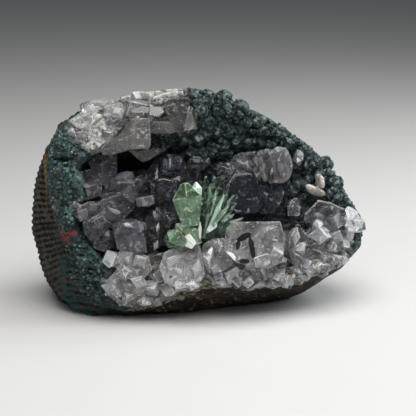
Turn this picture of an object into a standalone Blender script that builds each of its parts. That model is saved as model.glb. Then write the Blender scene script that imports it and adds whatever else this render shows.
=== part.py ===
"""Apophyllite cluster: a chunk of basalt vug with a chalcedony lining and the crystals grown on it.

The shape is laid out on a front grid of 416 by 416 squares, as seen from 14 degrees above.
A place is (across, down, depth): two grid numbers and a depth in millimetres, minus towards the front.
"""
import itertools
import math

import bmesh
import bpy
import numpy as np
from mathutils import Matrix, Vector, noise

MM = 0.001
GRID_TILT = math.radians(14)
GRID_DISTANCE = 546.0
GRID_AIM = Vector((3.6, 0.0, 44.5))
GRID_STEP = 36.0 / 105.0 / 416.0
GRID_MIDDLE = 208.0

HUB = (200.0, 205.0)         # middle of the open face on the grid
BACK_DEPTH = 44.0            # furthest point of the domed back
BACK_HEIGHT = 47.0
COLUMNS = 65                 # steps round the rim
GRID_PITCH = 0.45            # a grid square in millimetres, at the middle of the piece
RIB_PITCH = 2.6
RIB_DEPTH = 0.75
RIB_CORNERS = (0.25, 0.75)   # where a rib's two corners stand between its notches
RIB_START = (47, 148)
RIB_END = (96, 316)
PIECE_GAP = 0.4              # clear gap left between two pieces
NUDGES = (0.0, 0.02, -0.03, 0.05, -0.06)
FLAT_ANGLES = (3.0, 2.0, 1.2, 0.6, 0.2)
SLIVER = 0.02
LINING_BACK = 6.5            # thickness of the lining at the floor
KNOB_STEP = 13.0             # spacing of the knobs on the grid
KNOB_JITTER = 2.6
KNOB_RADIUS = (3.0, 4.2)
ROOT_TAPER = 0.86            # a crystal's root against its front
BACK_LUMPS = ((5.0, 30), (2.2, 11))          # height and width of lumps, millimetres
CREST_LUMPS = (1.4, 6)
INNER_LUMPS = (1.2, 6)
HOLLOW_LUMPS = (1.6, 8)

# rings from the back to the hollow: places on the grid, clockwise from the left
GIRDLE = [(33, 225, 6), (34, 200, 6), (38, 175, 7), (47, 148, 8), (60, 129, 9), (80, 117, 10),
          (105, 106, 11), (135, 100, 12), (167, 95, 13), (200, 93, 15), (235, 107, 17),
          (265, 121, 18), (290, 137, 18), (315, 156, 18), (334, 178, 17), (345, 202, 16),
          (357, 222, 13), (355, 243, 10), (340, 264, 8), (310, 288, 6), (275, 303, 5),
          (240, 313, 4), (200, 320, 2), (150, 323, 0), (100, 322, 0), (75, 313, 1), (60, 300, 2),
          (46, 277, 4), (38, 250, 5)]
FLANK = [(40, 225, -10), (37, 200, -8), (40, 175, -5), (48, 148, -2), (58, 130, 3), (78, 117, 6),
         (105, 105, 8), (135, 99, 9), (167, 94, 11), (200, 92, 13), (235, 105, 15), (265, 119, 16),
         (290, 135, 16), (315, 154, 16), (334, 175, 15), (347, 200, 14), (361, 216, 11),
         (365, 231, 9), (360, 248, 7), (347, 264, 4), (320, 282, 1), (285, 294, -3), (255, 301, -6),
         (230, 306, -8), (200, 310, -12), (150, 314.5, -17), (97, 316, -19), (76, 309, -17),
         (60, 294, -14), (50, 275, -12), (44, 250, -11)]
EDGE = [(60, 225, -20), (53, 207, -18), (48, 190, -15), (45, 170, -11), (48, 148, -6), (56, 129, -1),
        (78, 113, 2), (105, 101.5, 5), (135, 95, 6), (165, 90.5, 8), (200, 88.5, 11), (235, 103, 13),
        (265, 116.5, 14), (290, 132.5, 14), (315, 151.5, 14), (334, 171, 13), (345, 193, 12),
        (360, 213, 9), (365, 229, 7), (360, 246, 4), (348, 261, 0), (330, 273, -10), (300, 280, -18),
        (262, 287, -22), (230, 285, -24), (200, 290, -25), (165, 303, -23), (120, 312, -22),
        (97, 304, -23), (82, 291, -23), (70, 277, -22), (70, 262, -22), (71, 248, -21)]
CREST = [(67, 225, -24), (60, 207, -22), (56, 190, -20), (52, 170, -15), (52, 150, -11),
         (57, 132, -6), (79, 115, -4), (105, 102.5, 0), (135, 95.5, 0), (165, 90.5, 2), (200, 89, 6),
         (235, 105, 8), (265, 119, 9), (290, 135, 9), (315, 154, 9), (333, 174, 8), (343, 194, 6),
         (358, 213, 3), (363, 229, 1), (356, 245, -1), (343, 259, -6), (325, 269, -13),
         (300, 276, -20), (262, 281, -24), (230, 279, -26), (200, 283, -27), (165, 299, -25),
         (122, 308, -25), (103, 299, -26), (88, 286, -26), (80, 273, -26), (78, 260, -26),
         (77, 245, -25)]
INNER = [(71, 225, -25), (73, 210, -24), (78, 195, -23), (80, 180, -21), (73, 165, -18),
         (82, 156, -18), (96, 146, -17), (115, 141, -14), (135, 137, -9), (160, 131, -5),
         (185, 122, 2), (215, 118, 10), (240, 128, 13), (265, 143, 14), (290, 160, 13),
         (312, 178, 11), (325, 196, 8), (335, 212, 4), (342, 228, 1), (336, 246, -5),
         (318, 259, -12), (290, 268, -18), (260, 272, -22), (230, 271, -25), (200, 275, -26),
         (165, 290, -24), (125, 297, -25), (111, 285, -26), (107, 272, -27), (99, 261, -27),
         (90, 250, -27), (79, 239, -26)]

DOME_STEPS = (0.24, 0.54, 0.86, 1.18)         # angle from the girdle towards the back, radians
BOWL_STEPS = ((0.9, 0.45), (0.72, 0.85), (0.38, 1.0))
HOLLOW_STEPS = ((0.9, 0.5), (0.68, 0.9), (0.36, 1.0))

# crystals: corners on the grid, root length in millimetres, and for a flat front face its
# (across, down, depth, slope across, slope down); corners without a depth lie in that face
TOP_BLOCKS = [
    ([(131, 131), (131, 149), (118, 153.5), (103, 155), (100, 150), (109, 141.5), (119, 135),
      (120, 121, -13), (131, 118, -15)], 13, (118, 140, -17.5, 0.0, 0.04)),
    ([(131, 119), (150, 118), (150.5, 146), (148, 148.5), (131, 149.5), (134, 110, -10),
      (149, 109, -10)], 16, (141, 133, -16.5, 0.06, -0.06)),
    ([(127, 99, -4), (149, 98, -4), (126, 105), (150, 107), (148, 113), (133, 113)], 12,
     (138, 109, -11, 0.0, -0.3)),
    ([(150, 106, -9), (163, 107, -8), (164, 112, -10), (159, 117, -12), (149, 115, -13)], 12, None),
    ([(164, 104), (168, 99.5), (189, 98.5), (189, 105), (184, 131), (180, 136.5), (175, 128),
      (166, 112), (178, 97, -6), (188, 97, -5), (197, 110, -4), (197, 129, -4), (190, 135, -8)], 14,
     (176, 112, -11.5, -0.1, -0.1)),
    ([(150, 122), (170, 122), (180, 131), (170, 133.5), (151, 133), (160, 118, -7), (171, 119, -6)],
     12, (163, 128, -13, 0.03, -0.08)),
    ([(152, 131), (171, 131), (169, 147), (151, 148)], 12, (160, 140, -7, 0.03, -0.1)),
    ([(128, 150), (151, 149.5), (166, 148), (162, 153), (149, 159), (143, 162.5), (139, 160)], 12,
     (145, 155, -10, 0.08, 0.02)),
    ([(108, 128, -7), (190, 112, -1), (190, 128, -2), (150, 140, -4), (112, 142, -8)], 9, None),
]
LEFT_BLOCKS = [
    ([(96, 155), (116.5, 154), (117, 186), (108, 191), (101, 182), (92, 171), (88, 163)], 16,
     (105, 170, -10, 0.1, -0.1)),
    ([(80, 172), (90, 169), (102, 184), (101, 196), (88, 200), (79, 200), (79, 186)], 16,
     (90, 186, -15, 0.15, -0.12)),
    ([(93, 212), (100, 201), (112, 197), (128, 191), (137, 203), (132, 211), (118, 222.5),
      (113, 229), (99, 222), (108, 192, -13), (120, 188, -11)], 18, (114, 210, -20, 0.14, -0.16)),
    ([(116, 183), (134, 183), (138, 200), (122, 196), (114, 190), (122, 175, -8), (132, 174.5, -7)],
     18, (127, 190, -14, 0.05, -0.12)),
    ([(136, 178), (144, 173), (151, 180), (150, 195), (139, 200), (132, 187)], 18,
     (143, 188, -11.5, 0.05, -0.14)),
    ([(139, 201), (150, 195.5), (154.5, 198.5), (149.5, 207), (139, 205.5)], 14,
     (147, 201, -17, 0.05, -0.1)),
    ([(77, 206, -24), (90, 201, -20), (100, 208, -20), (97, 217, -23), (82, 221, -26),
      (73, 215, -25)], 14, None),
    ([(83, 222), (97, 217), (111, 223), (107, 232), (91, 241), (84, 233)], 16,
     (98, 228, -25.5, 0.1, -0.12)),
    ([(92, 241), (108, 231), (115, 232), (114, 247), (104, 252), (94, 248)], 16,
     (104, 242, -25, 0.1, -0.1)),
    ([(114, 233), (120, 226), (131, 224.5), (142, 230), (145, 239), (147, 253), (134, 251),
      (117, 249), (122, 219, -20), (136, 219, -20)], 20, (130, 238, -28, 0.05, -0.1)),
    ([(149, 211), (165, 210), (171, 221), (165, 240), (157, 250), (150, 239), (144, 222),
      (153, 206, -10), (164, 206, -9)], 22, (158, 228, -16, 0.0, -0.2)),
    ([(152, 182), (162, 178), (177, 181), (175, 198), (161, 201), (151, 196)], 20,
     (164, 190, -13.5, 0.0, -0.16)),
    ([(157, 159), (166, 154), (172, 157), (181, 168), (180, 182), (166, 185), (153, 180),
      (155, 168), (147, 174, -4), (187, 176, -3), (150, 166, -1), (183, 163, 0)], 20,
     (167, 170, -6, 0.0, -0.28)),
    ([(188, 160), (193, 156), (200, 156.5), (204, 163), (203, 170), (195, 173), (189, 169),
      (206, 166, -1), (186, 165, -1)], 18, (196, 165, -6, 0.0, -0.2)),
    ([(86, 176, -6), (140, 182, -4), (176, 176, -1), (198, 164, 2), (200, 172, 0), (180, 215, -8),
      (165, 246, -14), (96, 248, -19), (80, 210, -16)], 12, None),
]
LARGE_CRYSTAL = [
    ([(226, 183), (232, 173), (262, 170), (272, 178), (270, 191), (262, 206), (257, 213),
      (236, 214), (227, 199), (213, 178, -10), (218, 167, -6), (240, 153, -1), (255, 151, -3)], 22,
     (247, 192, -14, 0.02, -0.22)),
    ([(262, 150), (277, 148.5), (287, 156), (293.5, 165), (290, 175), (284, 180.5), (279, 171),
      (270, 163), (254, 152, -8), (258, 158, -12), (268, 170, -13)], 20,
     (278, 165, -9, 0.2, -0.12)),
]
FRONT_BLOCKS = [
    ([(226, 229), (233, 222), (280, 221.5), (285, 236), (283, 262), (270, 268), (252, 267),
      (236, 262), (224, 250)], 22, (255, 245, -30.5, 0.1, -0.12)),
    ([(203, 244), (213, 239), (224, 238), (225, 252), (233, 264), (223, 271), (207, 270),
      (202, 257)], 22, (214, 256, -31, -0.02, -0.14)),
    ([(164, 253), (180, 245), (199, 243), (203, 257), (205, 275), (196, 287), (181, 289),
      (165, 283), (159, 268), (182, 240, -24), (199, 240, -24)], 20,
     (183, 266, -31, 0.02, -0.1)),
    ([(118, 252), (134, 250), (149, 257), (152, 270), (142, 280), (124, 279), (115, 266)], 18,
     (134, 265, -30, 0.02, -0.12)),
    ([(147, 258, -26), (161, 253, -26), (165, 268, -29), (158, 284, -31), (148, 275, -30)], 18, None),
    ([(102, 262, -29), (107, 250, -26), (117, 252, -27), (120, 262, -30), (109, 268, -31)], 14, None),
    ([(106, 281), (118, 268), (124, 282), (121, 297), (109, 294)], 14,
     (115, 283, -30, 0.05, -0.08)),
    ([(120, 283, -30), (140, 278, -31), (156, 284, -32), (157, 301, -30), (143, 308, -28),
      (123, 306, -28)], 16, None),
    ([(150, 284, -31), (172, 284, -32), (180, 291, -31), (170, 301, -29), (154, 302, -29)], 16, None),
    ([(106, 262, -22), (150, 262, -20), (280, 232, -12), (280, 262, -16), (170, 288, -22),
      (112, 292, -22)], 10, None),
]
RIGHT_BLOCKS = [
    ([(290, 232, -20), (299, 224, -17), (309, 238, -18), (306, 262, -21), (294, 266, -24),
      (289, 250, -24)], 20, None),
    ([(307, 236), (320, 243), (330, 231), (318, 228), (313, 220, -11), (321, 219, -9)], 20,
     (318, 236, -17, 0.0, -0.15)),
    ([(305, 214), (318, 200), (330, 202), (345, 209), (346, 224), (331, 231), (315, 223),
      (304, 221)], 20, (325, 214, -9, 0.0, -0.2)),
    ([(344, 210, -3), (353, 209, 0), (365, 222, 1), (366, 230, -1), (356, 232, -7),
      (345, 228, -9)], 14, None),
    ([(322, 240, -15), (334, 229, -11), (352, 232, -8), (354, 243, -9), (338, 252, -14),
      (326, 250, -17)], 16, None),
    ([(301, 247), (320, 242), (336, 250), (338, 262), (322, 271), (301, 273)], 18,
     (320, 258, -19, 0.14, -0.1)),
    ([(296, 236, -8), (346, 214, 0), (350, 234, -2), (330, 258, -8), (300, 262, -14)], 10, None),
]
SMALL_CUBE_UPPER = [([(293, 160, 4), (297, 149, 6), (303, 151, 6), (302, 160, 2), (297, 163, 1)],
                     14, None)]
SMALL_CUBE_LOWER = [([(287, 206, -2), (290, 200, -1), (297, 197.5, 0), (301, 206, -1),
                      (299, 216, -4), (288, 216, -5)], 14, None)]
STILBITE = [
    ([(305, 184, 5), (312, 184, 7), (323, 194, 6), (321, 198, 3), (310, 196, 1), (306, 190, 2)], 9,
     None),
    ([(315, 178, 5), (320, 173, 7), (324, 181, 6), (323, 193, 3), (316, 193, 1)], 9, None),
]
# ledges on the lining: an outline on the grid and how far it stands out, in millimetres
LEDGES = [
    ([(66, 122), (84, 114), (100, 108), (104, 116), (92, 126), (76, 132)], 1.8),
    ([(104, 106), (122, 101), (126, 108), (122, 119), (108, 121), (100, 114)], 2.2),
    ([(80, 134), (98, 127), (103, 134), (100, 148), (88, 152), (80, 148)], 2.0),
    ([(151, 97), (168, 91), (190, 90), (188, 96), (166, 98), (158, 105), (151, 105)], 2.0),
    ([(55, 140), (70, 143), (80, 150), (70, 160), (53, 156)], 1.4),
    ([(52, 166), (66, 165), (79, 176), (77, 196), (71, 206), (58, 200), (51, 184)], 1.8),
    ([(62, 206), (71, 208), (70, 224), (64, 228), (60, 216)], 1.2),
    ([(76, 246), (88, 250), (99, 263), (104, 280), (92, 284), (80, 270)], 1.6),
    ([(206, 274), (235, 270), (262, 275), (252, 283), (214, 284)], 2.2),
    ([(266, 273), (298, 270), (318, 273), (300, 280), (268, 283)], 2.2),
    ([(352, 216), (361, 219), (361, 234), (354, 246), (348, 240)], 1.4),
]
# outline of the knobby field between the top blocks and the right tip
KNOB_FIELD = [(192, 91), (220, 94), (248, 108), (275, 124), (305, 143), (328, 160), (341, 190),
              (349, 203), (330, 200), (312, 202), (300, 196), (292, 190), (296, 165), (286, 152),
              (262, 144), (240, 149), (222, 160), (212, 172), (206, 158), (190, 152), (176, 148),
              (184, 138), (199, 131)]
# places kept free of knobs: grid place and radius
CLEARINGS = ((298, 156, 9), (294, 206, 9), (312, 188, 10), (320, 182, 8), (196, 165, 10))
# green blades: tip, width on the grid, thickness in millimetres
SPRAY_ROOT = (202, 236, -23)
SPRAY_BLADES = [((206, 176, -14), 6, 3.0), ((214.5, 176.5, -16), 7, 3.2), ((222.5, 177, -14), 7, 3.0),
                ((230, 186, -17), 8, 3.0), ((234.5, 197, -15), 8, 3.2), ((233, 208, -18), 8, 3.0),
                ((224, 193, -22), 7, 3.2), ((243, 218.5, -17), 7, 2.8), ((212, 195, -23), 8, 3.4)]
SPRAY_SOLIDS = [
    ([(180.5, 184, -22), (193, 190, -21), (200.5, 203, -22), (201, 220, -24), (198, 232, -25),
      (184, 232, -26), (180, 221, -26), (176, 196, -23), (178, 189, -22), (188, 205, -26)], 8, None),
    ([(194, 192, -19), (196.5, 182.5, -16), (203, 190, -15), (201.5, 203, -18)], 7, None),
    ([(164, 240, -28), (168, 231, -26), (179, 226, -24), (197, 231, -27), (202, 243, -29),
      (186, 243, -31), (168, 248, -31)], 7, None),
    ([(190, 215, -18), (212, 215, -17), (206, 243, -24), (196, 243, -24)], 30, None),
]


def clearScene():
    for old in list(bpy.data.objects):
        bpy.data.objects.remove(old, do_unlink=True)


def spot(across, down, depth):
    """Turns a place on the front grid into metres."""
    side = (across - GRID_MIDDLE) * GRID_STEP
    rise = (GRID_MIDDLE - down) * GRID_STEP
    forward = math.cos(GRID_TILT) + math.sin(GRID_TILT) * rise
    upward = math.cos(GRID_TILT) * rise - math.sin(GRID_TILT)
    reach = (depth + GRID_DISTANCE * math.cos(GRID_TILT)) / forward
    height = GRID_AIM.z + GRID_DISTANCE * math.sin(GRID_TILT) + reach * upward
    return Vector((GRID_AIM.x + reach * side, depth, height)) * MM


def surface(name, colour, roughness, metallic=0.0):
    material = bpy.data.materials.new(name)
    material.use_nodes = True
    shader = material.node_tree.nodes["Principled BSDF"]
    shader.inputs["Base Color"].default_value = (*colour, 1.0)
    shader.inputs["Roughness"].default_value = roughness
    shader.inputs["Metallic"].default_value = metallic
    return material


def objectFrom(name, bm):
    bmesh.ops.triangulate(bm, faces=bm.faces)
    bmesh.ops.recalc_face_normals(bm, faces=bm.faces)
    mesh = bpy.data.meshes.new(name)
    bm.to_mesh(mesh)
    bm.free()
    made = bpy.data.objects.new(name, mesh)
    bpy.context.scene.collection.objects.link(made)
    return made


def remove(*made):
    for one in made:
        bpy.data.objects.remove(one, do_unlink=True)


def volumeOf(mesh):
    """Volume of a closed mesh, or None when it has open edges."""
    bm = bmesh.new()
    bm.from_mesh(mesh)
    closed = all(len(edge.link_faces) == 2 for edge in bm.edges)
    volume = bm.calc_volume(signed=True) if closed else None
    bm.free()
    return volume


def soundResult(mesh, target, cutter, operation):
    """True when a Boolean's result is closed and its volume is possible."""
    volume = volumeOf(mesh)
    if volume is None:
        return False
    before = volumeOf(target.data)
    added = volumeOf(cutter.data)
    slack = 0.01 * before
    if operation == "UNION":
        return max(before, added) - slack < volume < before + added + slack
    return before - added - slack < volume < before + slack


def combined(target, cutter, operation, solver):
    step = target.modifiers.new("step", "BOOLEAN")
    step.operation = operation
    step.solver = solver
    step.object = cutter
    graph = bpy.context.evaluated_depsgraph_get()
    result = bpy.data.meshes.new_from_object(target.evaluated_get(graph))
    target.modifiers.clear()
    return result


def combine(target, cutter, operation):
    """Applies a Boolean; where it comes out open, the cutter is nudged a little and it runs again."""
    for nudge in NUDGES:
        cutter.location = Vector((nudge, -0.7 * nudge, 0.4 * nudge)) * MM
        for solver in ("EXACT", "MANIFOLD"):
            result = combined(target, cutter, operation, solver)
            if soundResult(result, target, cutter, operation):
                cutter.location = (0, 0, 0)
                old = target.data
                target.data = result
                bpy.data.meshes.remove(old)
                return
            bpy.data.meshes.remove(result)
    raise RuntimeError(f"{target.name} can't be joined or cut with {cutter.name}")


# rings

class Ring:
    """A closed line round the hub: distance and depth for every angle."""

    def __init__(self, places):
        turned = sorted((math.atan2(v - HUB[1], u - HUB[0]), math.hypot(u - HUB[0], v - HUB[1]), d)
                        for u, v, d in places)
        angles = [a for a, _, _ in turned]
        self.angles = np.array([angles[-1] - math.tau] + angles + [angles[0] + math.tau])
        self.distances = np.array([turned[-1][1]] + [r for _, r, _ in turned] + [turned[0][1]])
        self.depths = np.array([turned[-1][2]] + [d for _, _, d in turned] + [turned[0][2]])

    def at(self, angle):
        angle = math.remainder(angle, math.tau)
        return (float(np.interp(angle, self.angles, self.distances)),
                float(np.interp(angle, self.angles, self.depths)))


def place(angle, distance, depth):
    return spot(HUB[0] + distance * math.cos(angle), HUB[1] + distance * math.sin(angle), depth)


def floorDepth(across, down):
    """Depth of the hollow's floor: deepest under the overhang, forward along the bottom."""
    well = 11 * math.exp(-((across - 128) ** 2 + (down - 163) ** 2) / (2 * 20 ** 2))
    dip = 5 * math.exp(-((across - 212) ** 2 + (down - 158) ** 2) / (2 * 26 ** 2))
    rise = 0.28 * max(0.0, down - 212)
    return 9 + well + dip - rise


rings = {"girdle": Ring(GIRDLE), "flank": Ring(FLANK), "edge": Ring(EDGE), "crest": Ring(CREST),
         "inner": Ring(INNER)}


def hollowAt(angle, step, rim, extra=0.0):
    """A point between a rim ring and the floor, `extra` millimetres behind the floor."""
    distance, depth = rings[rim].at(angle)
    reach, drop = step
    across = HUB[0] + reach * distance * math.cos(angle)
    down = HUB[1] + reach * distance * math.sin(angle)
    floor = max(floorDepth(across, down) + extra, depth)
    return reach * distance, depth + (floor - depth) * drop


def columnAngles():
    """Main angles round the rim, closer together over the ribs, and the rib notches between."""
    start = math.atan2(RIB_START[1] - HUB[1], RIB_START[0] - HUB[0])
    end = math.atan2(RIB_END[1] - HUB[1], RIB_END[0] - HUB[0])
    walk = np.linspace(start, end - math.tau, 1500)
    places = [place(a, *rings["flank"].at(a)) for a in walk]
    travel = np.cumsum([0.0] + [(q - p).length for p, q in zip(places, places[1:])]) / MM
    ribs = int(round(travel[-1] / RIB_PITCH))
    ribbed = [float(np.interp(travel[-1] * i / ribs, travel, walk)) for i in range(ribs + 1)]
    plain = COLUMNS - ribs
    rest = [ribbed[-1] + (start - math.tau - ribbed[-1]) * i / plain for i in range(1, plain)]
    return ribbed, rest


def roughness(point, size, scale):
    return noise.noise(Vector(point) / MM / scale) * size * MM


def makeBasalt():
    ribbed, rest = columnAngles()
    main = ribbed + rest
    middle = Vector((0.0, BACK_DEPTH * MM, BACK_HEIGHT * MM))
    bm = bmesh.new()

    def outward(point):
        away = Vector((point.x, 0, point.z - BACK_HEIGHT * MM))
        return away.normalized()

    def fineRing(makePoint, notch):
        """Points at the main angles with two rib corners after each ribbed one."""
        ring = []
        for i, angle in enumerate(main):
            onRib = i < len(ribbed)
            point = makePoint(angle)
            if onRib:
                point -= outward(point) * RIB_DEPTH * notch * MM
            ring.append([bm.verts.new(point)])
            if i < len(ribbed) - 1:
                for share in RIB_CORNERS:
                    between = angle + (main[i + 1] - angle) * share
                    ring[-1].append(bm.verts.new(makePoint(between)))
        return ring

    def coarseRing(makePoint):
        return [[bm.verts.new(makePoint(angle))] for angle in main]

    def onRing(name):
        return lambda angle: place(angle, *rings[name].at(angle))

    def dome(step):
        def point(angle):
            girdle = place(angle, *rings["girdle"].at(angle))
            spread = math.cos(step) ** 0.9
            back = math.sin(step)
            flat = middle + (girdle - middle) * spread
            flat.y = girdle.y + (middle.y - girdle.y) * back
            lump = sum(roughness(flat, *lumps) for lumps in BACK_LUMPS) * back
            return flat + (outward(flat) + Vector((0, 0.6, 0))) * lump
        return point

    def bowl(step):
        return lambda angle: place(angle, *hollowAt(angle, step, "edge", LINING_BACK))

    layers = [coarseRing(dome(step)) for step in reversed(DOME_STEPS[1:])]
    layers.append(fineRing(dome(DOME_STEPS[0]), 0.7))
    layers.append(fineRing(onRing("girdle"), 1.0))
    layers.append(fineRing(onRing("flank"), 1.0))
    layers.append(fineRing(onRing("edge"), 0.55))
    layers += [coarseRing(bowl(step)) for step in BOWL_STEPS]
    stitch(bm, layers)
    cap(bm, layers[0], middle)
    cap(bm, layers[-1], place(0, 0, floorDepth(*HUB) + LINING_BACK))
    return bm


def stitch(bm, layers):
    """Joins rings; a ring with rib corners meets a plain one in small fans."""
    for lower, upper in zip(layers, layers[1:]):
        count = len(lower)
        for i in range(count):
            j = (i + 1) % count
            low = lower[i] + lower[j][:1]
            high = upper[i] + upper[j][:1]
            if len(low) == len(high):
                for k in range(len(low) - 1):
                    bm.faces.new((low[k], low[k + 1], high[k + 1], high[k]))
                continue
            fine, plain = (low, high) if len(low) > len(high) else (high, low)
            half = len(fine) // 2
            for k in range(len(fine) - 1):
                bm.faces.new((fine[k], fine[k + 1], plain[0 if k < half else 1]))
            bm.faces.new((fine[half], plain[1], plain[0]))


def cap(bm, ring, point):
    tip = bm.verts.new(point)
    loop = [v for group in ring for v in group]
    for a, b in zip(loop, loop[1:] + loop[:1]):
        bm.faces.new((a, b, tip))


def liningLayers(bm, gap):
    ribbed, rest = columnAngles()
    main = ribbed + rest

    def ring(makePoint):
        return [[bm.verts.new(makePoint(angle))] for angle in main]

    def named(name, lumps):
        def point(angle):
            found = place(angle, *rings[name].at(angle))
            return found + Vector((0, -roughness(found, *lumps), 0))
        return point

    def hollow(step):
        def point(angle):
            found = place(angle, *hollowAt(angle, step, "inner"))
            return found + Vector((0, -roughness(found, *HOLLOW_LUMPS), 0))
        return point

    def bowl(step):
        def point(angle):
            distance, depth = hollowAt(angle, step, "edge", LINING_BACK)
            return place(angle, distance - gap / GRID_PITCH, depth - gap)
        return point

    def start(angle):
        distance, depth = rings["edge"].at(angle)
        return place(angle, distance - gap / GRID_PITCH, depth - gap)

    back = [ring(bowl(step)) for step in reversed(BOWL_STEPS)] + [ring(start)]
    front = [ring(named("crest", CREST_LUMPS)), ring(named("inner", INNER_LUMPS))]
    front += [ring(hollow(step)) for step in HOLLOW_STEPS]
    return back, front


def makeLining():
    bm = bmesh.new()
    back, front = liningLayers(bm, PIECE_GAP)
    layers = back + front
    stitch(bm, layers)
    floor = floorDepth(*HUB)
    cap(bm, layers[0], place(0, 0, floor + LINING_BACK - PIECE_GAP))
    cap(bm, layers[-1], place(0, 0, floor))
    return bm


def makeBodyCutter():
    """The whole body in one closed skin, grown by the gap, to trim the crystals' roots."""
    ribbed, rest = columnAngles()
    bm = bmesh.new()
    _, front = liningLayers(bm, 0.0)
    middle = Vector((0.0, BACK_DEPTH * MM, BACK_HEIGHT * MM))
    outer = []
    for name in ("girdle", "flank", "edge"):
        outer.append([[bm.verts.new(place(a, *rings[name].at(a)))] for a in ribbed + rest])
    layers = outer + front
    stitch(bm, layers)
    cap(bm, layers[0], middle)
    cap(bm, layers[-1], place(0, 0, floorDepth(*HUB)))
    loose = [v for v in bm.verts if not v.link_faces]
    bmesh.ops.delete(bm, geom=loose, context="VERTS")
    bmesh.ops.recalc_face_normals(bm, faces=bm.faces)
    bm.normal_update()
    moves = [(v, v.normal * v.calc_shell_factor() * PIECE_GAP * MM) for v in bm.verts]
    for v, move in moves:
        v.co += move
    return bm


def frontDepth(across, down):
    """Depth of the lining's front at a grid place."""
    angle = math.atan2(down - HUB[1], across - HUB[0])
    distance = math.hypot(across - HUB[0], down - HUB[1])
    steps = [(0.0, floorDepth(*HUB))]
    steps += [hollowAt(angle, step, "inner") for step in reversed(HOLLOW_STEPS)]
    steps += [rings["inner"].at(angle), rings["crest"].at(angle), rings["edge"].at(angle)]
    return float(np.interp(distance, [s[0] for s in steps], [s[1] for s in steps]))


def inField(across, down):
    inside = False
    for (x1, y1), (x2, y2) in zip(KNOB_FIELD, KNOB_FIELD[1:] + KNOB_FIELD[:1]):
        if (y1 > down) != (y2 > down) and across < x1 + (down - y1) * (x2 - x1) / (y2 - y1):
            inside = not inside
    return inside


def knobPlaces():
    """Places and sizes of the knobs, on a jittered grid."""
    random = np.random.default_rng(7)
    found = []
    row = 0
    down = 88.0
    while down < 212:
        across = 176.0 + (row % 2) * KNOB_STEP / 2
        while across < 356:
            u = across + random.uniform(-KNOB_JITTER, KNOB_JITTER)
            v = down + random.uniform(-KNOB_JITTER, KNOB_JITTER)
            size = random.uniform(*KNOB_RADIUS)
            squash = random.uniform(0.8, 1.1)
            clear = all(math.hypot(u - x, v - y) > away for x, y, away in CLEARINGS)
            if inField(u, v) and clear:
                found.append((spot(u, v, frontDepth(u, v) + 0.2), size, squash))
            across += KNOB_STEP
        down += KNOB_STEP * 0.82
        row += 1
    return found


def knobSolids():
    made = []
    for index, (centre, size, squash) in enumerate(knobPlaces()):
        turn = Matrix.Rotation(index * 1.7, 4, "Y") @ Matrix.Rotation(index * 0.9, 4, "X")
        scale = Matrix.Diagonal((1.0, squash, 1.0, 1.0))
        matrix = Matrix.Translation(centre) @ turn @ scale
        bm = bmesh.new()
        bmesh.ops.create_icosphere(bm, subdivisions=1, radius=size * MM, matrix=matrix)
        made.append(bm)
    return made


def ledge(outline, lift):
    """A low flat lump standing out of the lining."""
    bm = bmesh.new()
    middleAcross = sum(u for u, _ in outline) / len(outline)
    middleDown = sum(v for _, v in outline) / len(outline)
    for u, v in outline:
        bm.verts.new(spot(u, v, frontDepth(u, v) + 2.5))
        nearU = middleAcross + (u - middleAcross) * 0.8
        nearV = middleDown + (v - middleDown) * 0.8
        bm.verts.new(spot(nearU, nearV, frontDepth(nearU, nearV) - lift))
    return hulled(bm)


def crystal(corners, root, face):
    """A flat-faced crystal: the hull of its corners and a narrower root along the line of sight."""
    bm = bmesh.new()
    points = []
    for corner in corners:
        if len(corner) == 2:
            across, down, depth, slopeAcross, slopeDown = face
            depth += (corner[0] - across) * slopeAcross + (corner[1] - down) * slopeDown
            corner = (corner[0], corner[1], depth)
        points.append(spot(*corner))
    middle = sum(points, Vector()) / len(points)
    inward = Vector((0.0, math.cos(GRID_TILT), -math.sin(GRID_TILT)))
    for point in points:
        bm.verts.new(point)
        bm.verts.new(middle + (point - middle) * ROOT_TAPER + inward * root * MM)
    return hulled(bm)


def blade(tip, width, thickness):
    """A pointed blade from the root of the spray to its tip."""
    base = Vector(SPRAY_ROOT)
    end = Vector(tip)
    along = Vector((end.x - base.x, end.y - base.y, 0)).normalized()
    across = Vector((-along.y, along.x, 0))
    shoulder = base.lerp(end, 0.74)
    bm = bmesh.new()
    for centre, half in ((base, 0.3), (shoulder, 0.5)):
        for side in (-1, 1):
            for back in (-0.5, 0.5):
                corner = centre + across * side * half * width
                bm.verts.new(spot(corner.x, corner.y, centre.z + back * thickness))
    bm.verts.new(spot(end.x, end.y, end.z - 0.1 * thickness))
    bm.verts.new(spot(end.x, end.y, end.z + 0.4 * thickness))
    return hulled(bm)


def hulled(bm):
    result = bmesh.ops.convex_hull(bm, input=list(bm.verts))
    spare = {v for v in result["geom_interior"] + result["geom_unused"]
             if isinstance(v, bmesh.types.BMVert)}
    bmesh.ops.delete(bm, geom=list(spare), context="VERTS")
    bmesh.ops.recalc_face_normals(bm, faces=bm.faces)
    bmesh.ops.triangulate(bm, faces=bm.faces, ngon_method="EAR_CLIP")
    return bm


def grown(bm, gap):
    bm.normal_update()
    moves = [(v, v.normal * v.calc_shell_factor() * gap * MM) for v in bm.verts]
    for v, move in moves:
        v.co += move
    return bm


def solidsOf(name):
    lists = {"apophyllite_top_blocks": TOP_BLOCKS, "apophyllite_left_blocks": LEFT_BLOCKS,
             "apophyllite_large_crystal": LARGE_CRYSTAL, "apophyllite_front_blocks": FRONT_BLOCKS,
             "apophyllite_right_blocks": RIGHT_BLOCKS, "small_cube_upper": SMALL_CUBE_UPPER,
             "small_cube_lower": SMALL_CUBE_LOWER, "stilbite_blades": STILBITE}
    if name == "green_apophyllite_spray":
        return [crystal(*one) for one in SPRAY_SOLIDS] + [blade(*one) for one in SPRAY_BLADES]
    return [crystal(*one) for one in lists[name]]


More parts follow.
